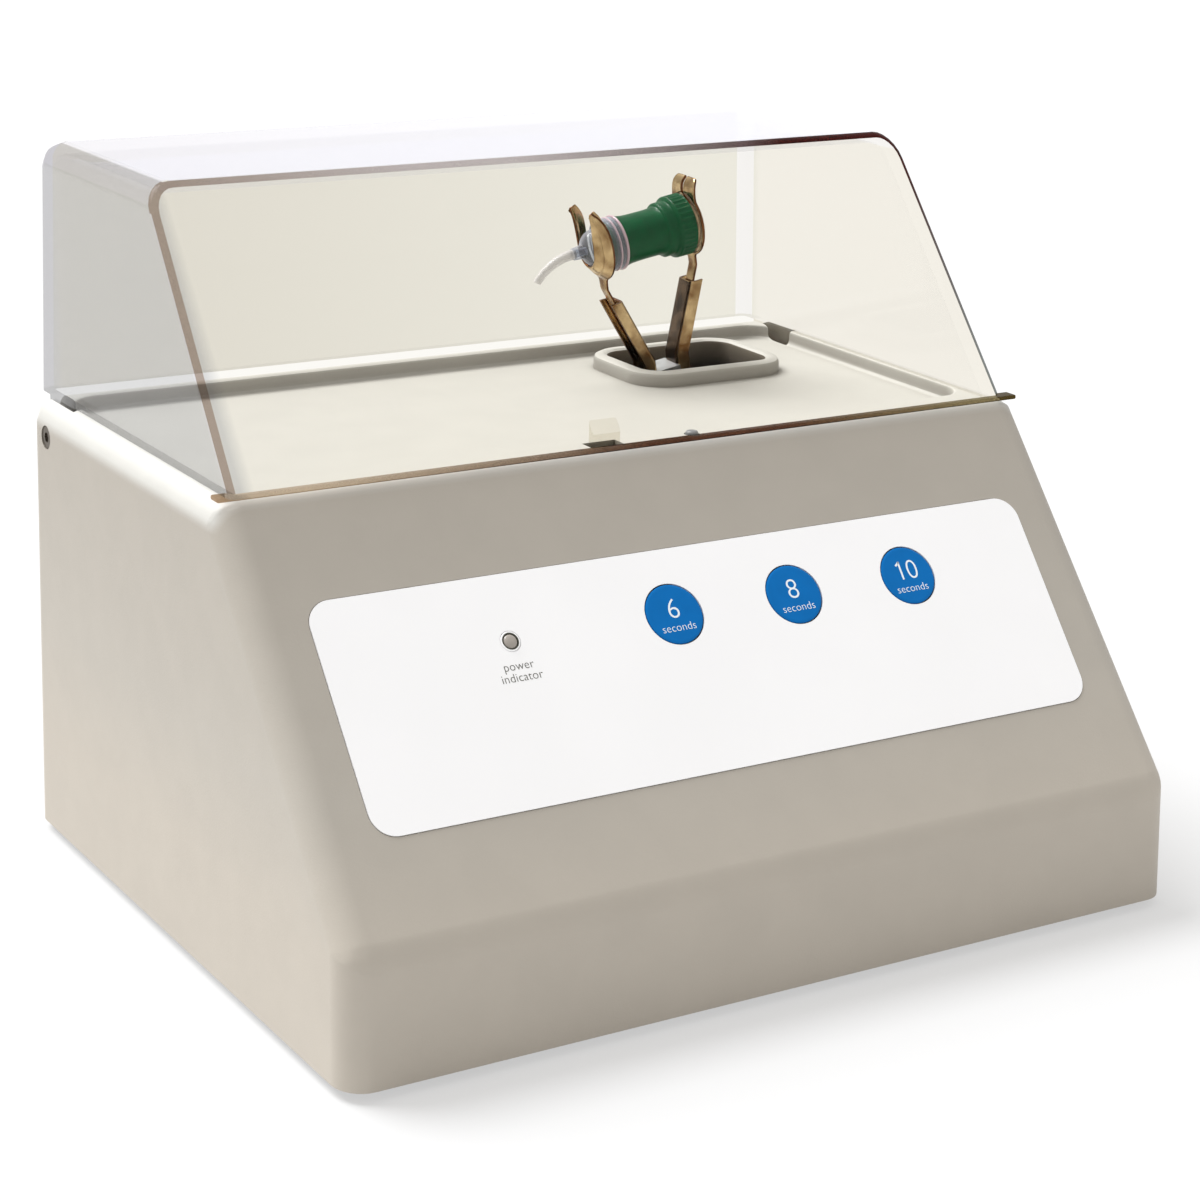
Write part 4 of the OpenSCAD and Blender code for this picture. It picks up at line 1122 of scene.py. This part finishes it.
for side in (-1, 1):
    pick(left_fork, lambda at, way: abs(at.z) < 0.01 and at.y * side > 0 and abs(way.z) < 0.1,
         "EDGE")
    for (up, low, high), (next_up, next_low, next_high), (lean, flat) in zip(TINE, TINE[1:], LEAN):
        growth((lean, side * (next_low - low), next_up - up),
               (flat, (next_high - next_low) / (high - low), 1), (-17.2, side * next_low, 0))
bladed(left_fork, -1)
head_place = journal_frame @ shift(0, 0, CAPSULE_UP)
settle(left_fork, "left_fork_sheet", head_place, "left_fork", angle=50)

# %% [markdown]
# The right head closes on the capsule's knurled end. It is a full dish, inset ring by ring, with
# a broad tongue at the top that a narrow slit splits.

# %% Right fork
right_fork = circle_across(HEAD_R, 13.6, vertices=48, fill_type="NGON")
edit(right_fork)
for inset, depth in (
    (0.35, 0.02), (0.45, 0.3), (0.9, 0.55), (0.3, -0.1), (0.35, 0.5), (1.6, 0.7), (2.0, 0.35),
    (1.6, 0.1),
):
    ops.inset(thickness=inset, depth=depth)
pick(right_fork, lambda at, way: at.z > 5 and abs(at.yz.length - HEAD_R) < 0.06
     and abs(at.y) < 6, "EDGE")
for along, up, narrow, low, height in (
    (0.1, 1.3, 0.99, 0.45, 9.9), (0.55, 1.2, 0.96, 0.3, 11.3), (0.85, 0.8, 0.9, 0.3, 12.1),
    (0.5, 0.4, 0.84, 0.3, 12.4),
):
    growth((along, 0, up), (1, narrow, low), (0, 0, height))
bladed(right_fork, 1)
slit = block((10, -0.75, 5.5), (20, 0.75, 16))
fuse(slit, bar((10, 0, 5.5), (20, 0, 5.5), 0.75, 24))
paint(slit, ("spring_steel", "spring_edge"), lambda at, way: 1)
cut(right_fork, slit)
settle(right_fork, "right_fork_sheet", head_place, "right_fork", angle=50)

# %% [markdown]
# The capsule is a green moulding with a slim waist, a stepped shoulder and a knurled end, where
# every second column of points is pressed in.


# %% Capsule: barrel
def knurled(piece, step, low, high, beyond, depth):
    """Presses in every second column of points between two heights."""
    def in_groove(at, way):
        column = round(math.degrees(math.atan2(at.y, at.x)) / step)
        return column % 2 == 0 and low < at.z < high and at.xy.length > beyond

    pick(piece, in_groove, "VERT")
    scaled((depth, depth, 1))


capsule_place = head_place @ spin(math.pi / 2, "Y")
barrel = turned([
    (5.9, -12.6), (6.2, -12.4), (6.3, -10.9), (6.65, -10.0), (6.95, -8.3), (7.0, -7.8),
    (6.92, -7.3), (6.7, -6.6), (6.5, -5.2), (6.4, -3.2), (6.36, 0), (6.4, 2.6), (6.5, 3.8),
    (6.75, 4.3), (7.2, 4.55), (7.4, 4.85), (7.42, 5.9), (7.3, 6.3), (7.28, 6.9), (7.45, 7.3),
    (8.0, 7.6), (8.32, 7.9), (8.4, 8.2), (8.4, 8.6), (8.4, 11.6), (8.4, 12.1), (8.28, 12.3),
    (8.0, 12.4),
], 72)
knurled(barrel, 5, 8.5, 11.7, 8.2, 0.958)
cut(barrel, bar((0, 0, 1), (0, 0, 14), 4.2, 48))
settle(barrel, "barrel_moulding", capsule_place, "capsule_barrel", angle=28)

# %% [markdown]
# A clear collar holds the dome on, and two thin rings lie behind it. The green barrel really
# reaches into the collar and shows through it. The nozzle is a thin open tube, whose circle is
# drawn out step by step round the bend's middle and made a little slimmer each time.


# %% Capsule: rings, collar and nozzle
def bead(start, end, inner, outer):
    """A thin ring with a round outside."""
    low, high = inner + 0.2 * (outer - inner), outer - 0.2 * (outer - inner)
    ring = turned([
        (low, start), (high, start + 0.1), (outer, start + 0.25), (outer, end - 0.25),
        (high, end - 0.1), (low, end),
    ], 64)
    return cut(ring, bar((0, 0, start - 1), (0, 0, end + 1), inner, 64))


rings = join(bead(-8.75, -8.05, 6.99, 7.5), bead(-10.55, -9.95, 6.8, 7.4))
settle(rings, "ring_pair", capsule_place, "capsule_rings")

collar = turned([
    (7.02, -8.8), (7.12, -8.9), (7.14, -10.4), (7.2, -10.6), (7.22, -10.9), (7.2, -12.5),
    (7.05, -12.8), (6.7, -12.9), (5.6, -12.92), (5.3, -13.1), (5.2, -13.6), (5.2, -14.2),
    (5.12, -15), (4.9, -15.8), (4.5, -16.6), (3.9, -17.3), (3.2, -17.9), (2.5, -18.25),
    (2.1, -18.45), (1.9, -18.9), (1.8, -19.6), (1.7, -20.6), (1.62, -21.4), (1.3, -21.5),
], 64)
barrel_seat = turned([(6.45, -11), (6.8, -10), (7.06, -8.5), (7.1, -8)], 64)
cut(collar, bar((0, 0, -24), (0, 0, -17.4), 1.05), barrel_seat)
settle(collar, "collar_and_dome", capsule_place, "capsule_collar", angle=40)

NOZZLE_FROM, NOZZLE_RUN = -20.9, 0.6
NOZZLE_BEND, NOZZLE_TURN, NOZZLE_STEPS = 16.0, math.radians(46), 12
nozzle = circle_across(1.42, NOZZLE_FROM, vertices=28)
edit(nozzle, "VERT")
growth((-NOZZLE_RUN, 0, 0))
bend_middle = Vector((NOZZLE_FROM - NOZZLE_RUN, 0, -NOZZLE_BEND))
turn_by = NOZZLE_TURN / NOZZLE_STEPS
arc = [
    spin(-step * turn_by, "Y") @ Vector((0, 0, NOZZLE_BEND))
    for step in range(NOZZLE_STEPS + 1)
]
for before, after in zip(arc, arc[1:]):
    growth(tuple(after - before))
    bpy.ops.transform.rotate(value=turn_by, orient_axis="Y", center_override=bend_middle + after)
    scaled((0.976, 0.976, 0.976), bend_middle + after)
apply(closed(nozzle), "SOLIDIFY", thickness=0.28, offset=-1)
settle(paint(nozzle, ["nozzle_clear"]), "nozzle_tube", head_place, "capsule_nozzle")

# %% [markdown]
# The rear panel is guessed, because the photograph doesn't show it, but a real machine has the
# same three parts there: an appliance inlet, a fuse holder and a rocker switch. They are drawn
# standing on a plane and then stood against the rear wall.

# %% Appliance inlet
rear_place = shift(0, BODY_D, 0) @ spin(-math.pi / 2, "X")


def rear_at(x, height):
    """The place of a piece that looks out of the rear wall, with its own Y pointing down."""
    return housing_frame @ shift(x, 0, height) @ rear_place


inlet_place = rear_at(INLET_X, REAR_Z)
inlet = stack((-25, -11.5), (25, 11.5), 5, [
    (0, 0.02), (0, 1.55), (-0.15, 1.85), (-0.5, 2.0),
])
fuse(inlet, stack((-13.5, -9.9), (13.5, 9.9), 2.5, [(-0.6, -22), (0, -21.4), (0, 1)]))
cut(inlet, stack((-12, -8.3), (12, 8.3), 3.2, [
    (-0.2, -15), (0, -14.8), (0, 1.6), (0.35, 2.3),
]), *[bar((x, 0, -1), (x, 0, 3), 1.7) for x in (-20, 20)])
ridge = stack((-14.4, -10.7), (14.4, 10.7), 5, [(0, 1.5), (0, 2.3), (-0.2, 2.5)])
cut(ridge, stack((-12.9, -9.2), (12.9, 9.2), 3.8, [(0, 1), (0, 3)]))
blunt(fuse(inlet, ridge), 0.15)
settle(inlet, "inlet_moulding", inlet_place, "power_inlet")

blades = []
for place in shifts((-7, 2, 0), (0, -2, 0), (7, 2, 0)):
    blade = block((-1, -2, -26), (1, 2, -4))
    soften(blade, lambda at, way: 0.7 if at.z > -5 else 0.2, 0.7, 3)
    blades.append(placed(blade, place))
settle(join(*blades), "inlet_blade_set", inlet_place, "inlet_blades")
inlet_screws = repeated(round_screw(2.7, 1.6, 1.5, 9, 0.7), shifts((-20, 0, 2), (20, 0, 2)))
settle(inlet_screws, "inlet_screw_pair", inlet_place, "inlet_screws")

# %% [markdown]
# The fuse holder's cap is ribbed as the capsule's end is, and slotted for a coin.

# %% Fuse holder
cap = turned([
    (5.9, -28), (6.1, -27.7), (6.1, 0), (7.8, 0.02), (8.0, 0.2), (8.0, 1.35), (7.85, 1.65),
    (7.5, 1.8), (5.45, 1.81), (5.4, 1.9), (5.4, 2.2), (5.4, 3.6), (5.2, 3.9), (4.9, 4.0),
])
knurled(cap, 7.5, 2.1, 3.7, 5.3, 0.95)
cut(cap, block((-3.8, -0.65, 2.9), (3.8, 0.65, 5)))
settle(cap, "fuse_cap", rear_at(INLET_X, FUSE_Z), "fuse_holder")

# %% [markdown]
# The rocker tilts in its frame about a short axle. Its face is hollowed with a large bar, and it
# carries the usual line and ring for on and off.

# %% Rocker switch
ROCKER_TILT = math.radians(8)
bezel = stack((-12, -9), (12, 9), 2, [(0, 0.02), (0, 1.3), (-0.2, 1.62), (-0.6, 1.8)])
fuse(bezel, stack((-9.6, -6.6), (9.6, 6.6), 0.8, [(-0.4, -16), (0, -15.6), (0, 1)]))
cut(bezel, stack((-8.5, -5.7), (8.5, 5.7), 0.8, [(0, -8), (0, 1.4), (0.3, 2)]),
    bar((-9.1, 0, 0), (9.1, 0, 0), 1.26, 24))
settle(bezel, "rocker_frame", rear_at(ROCKER_X, REAR_Z), "rocker_bezel")

rocker = block((-8.1, -5.1, -3), (8.1, 5.1, 3.2))
blunt(cut(rocker, bar((-9, 0, 46.6), (9, 0, 46.6), 44, 160)), 0.35, segments=3)
fuse(rocker, bar((-8.9, 0, 0), (8.9, 0, 0), 1.2, 24))
tilted = rear_at(ROCKER_X, REAR_Z) @ spin(ROCKER_TILT, "X")
settle(rocker, "rocker_button", tilted, "power_rocker")
line = block((-0.22, -4.4, 2.55), (0.22, -2.2, 2.88))
circle = placed(turned([(1.3, 2.5), (1.3, 2.8), (1.2, 2.86)], 32), *shifts((0, 3.2, 0)))
cut(circle, bar((0, 3.2, 2), (0, 3.2, 4), 0.95))
for name, mark in (("mark_on", line), ("mark_off", circle)):
    settle(paint(mark, ["print_white"]), name, tilted, body="rocker", slot="panel_film")

# %% [markdown]
# Four rubber feet are pushed through the base plate, and four screws hold the plate. A foot is
# hollow below, so that it grips with its rim, and has a barb above the plate.

# %% Feet and base screws
foot = turned([
    (4.8, -2.0), (5.6, -2.5), (6.9, -2.5), (7.3, -2.3), (7.9, -0.45), (8.0, -0.15), (7.9, 0),
    (2.95, 0.02), (2.95, 1.5), (3.8, 1.52), (3.75, 1.9), (2.9, 3.6), (2.4, 3.9),
])
feet = repeated(foot, shifts(*[(x, y, 0) for x in (-92, 92) for y in (24, 160.5)]))
settle(feet, "foot_set", housing_frame, "rubber_feet")
base_screw = placed(round_screw(3.1, 1.4, 1.6, 13, 0.8), spin(math.pi, "X"))
base_screws = repeated(base_screw, shifts(*[(x, y, 0) for x in (-103, 103) for y in (14, 170.5)]))
settle(base_screws, "base_screw_set", housing_frame, "base_screws")

# %% [markdown]
# The floor is a sheet of pale paper. The camera sees it half as lit paper and half as plain
# white, so that it reaches white everywhere and still keeps a light shadow.

# %% The floor
FLOOR_W, FLOOR_Z = 14, -0.0001
paper = Finish("floor_paint", light(206, 206, 206), 0.9).drift(400, 0.004)
glow = add(paper.tree, "Emission", {"Color": (1, 1, 1, 1)})
paper.show(mixed(paper.tree, seen_or_mirrored(paper.tree, 0.5), paper.shader, glow))
fresh()
ops.primitive_plane_add(size=FLOOR_W, location=(0, 0, FLOOR_Z))
floor = bpy.context.object
floor.name = "floor"
floor.data.materials.append(paper.material)
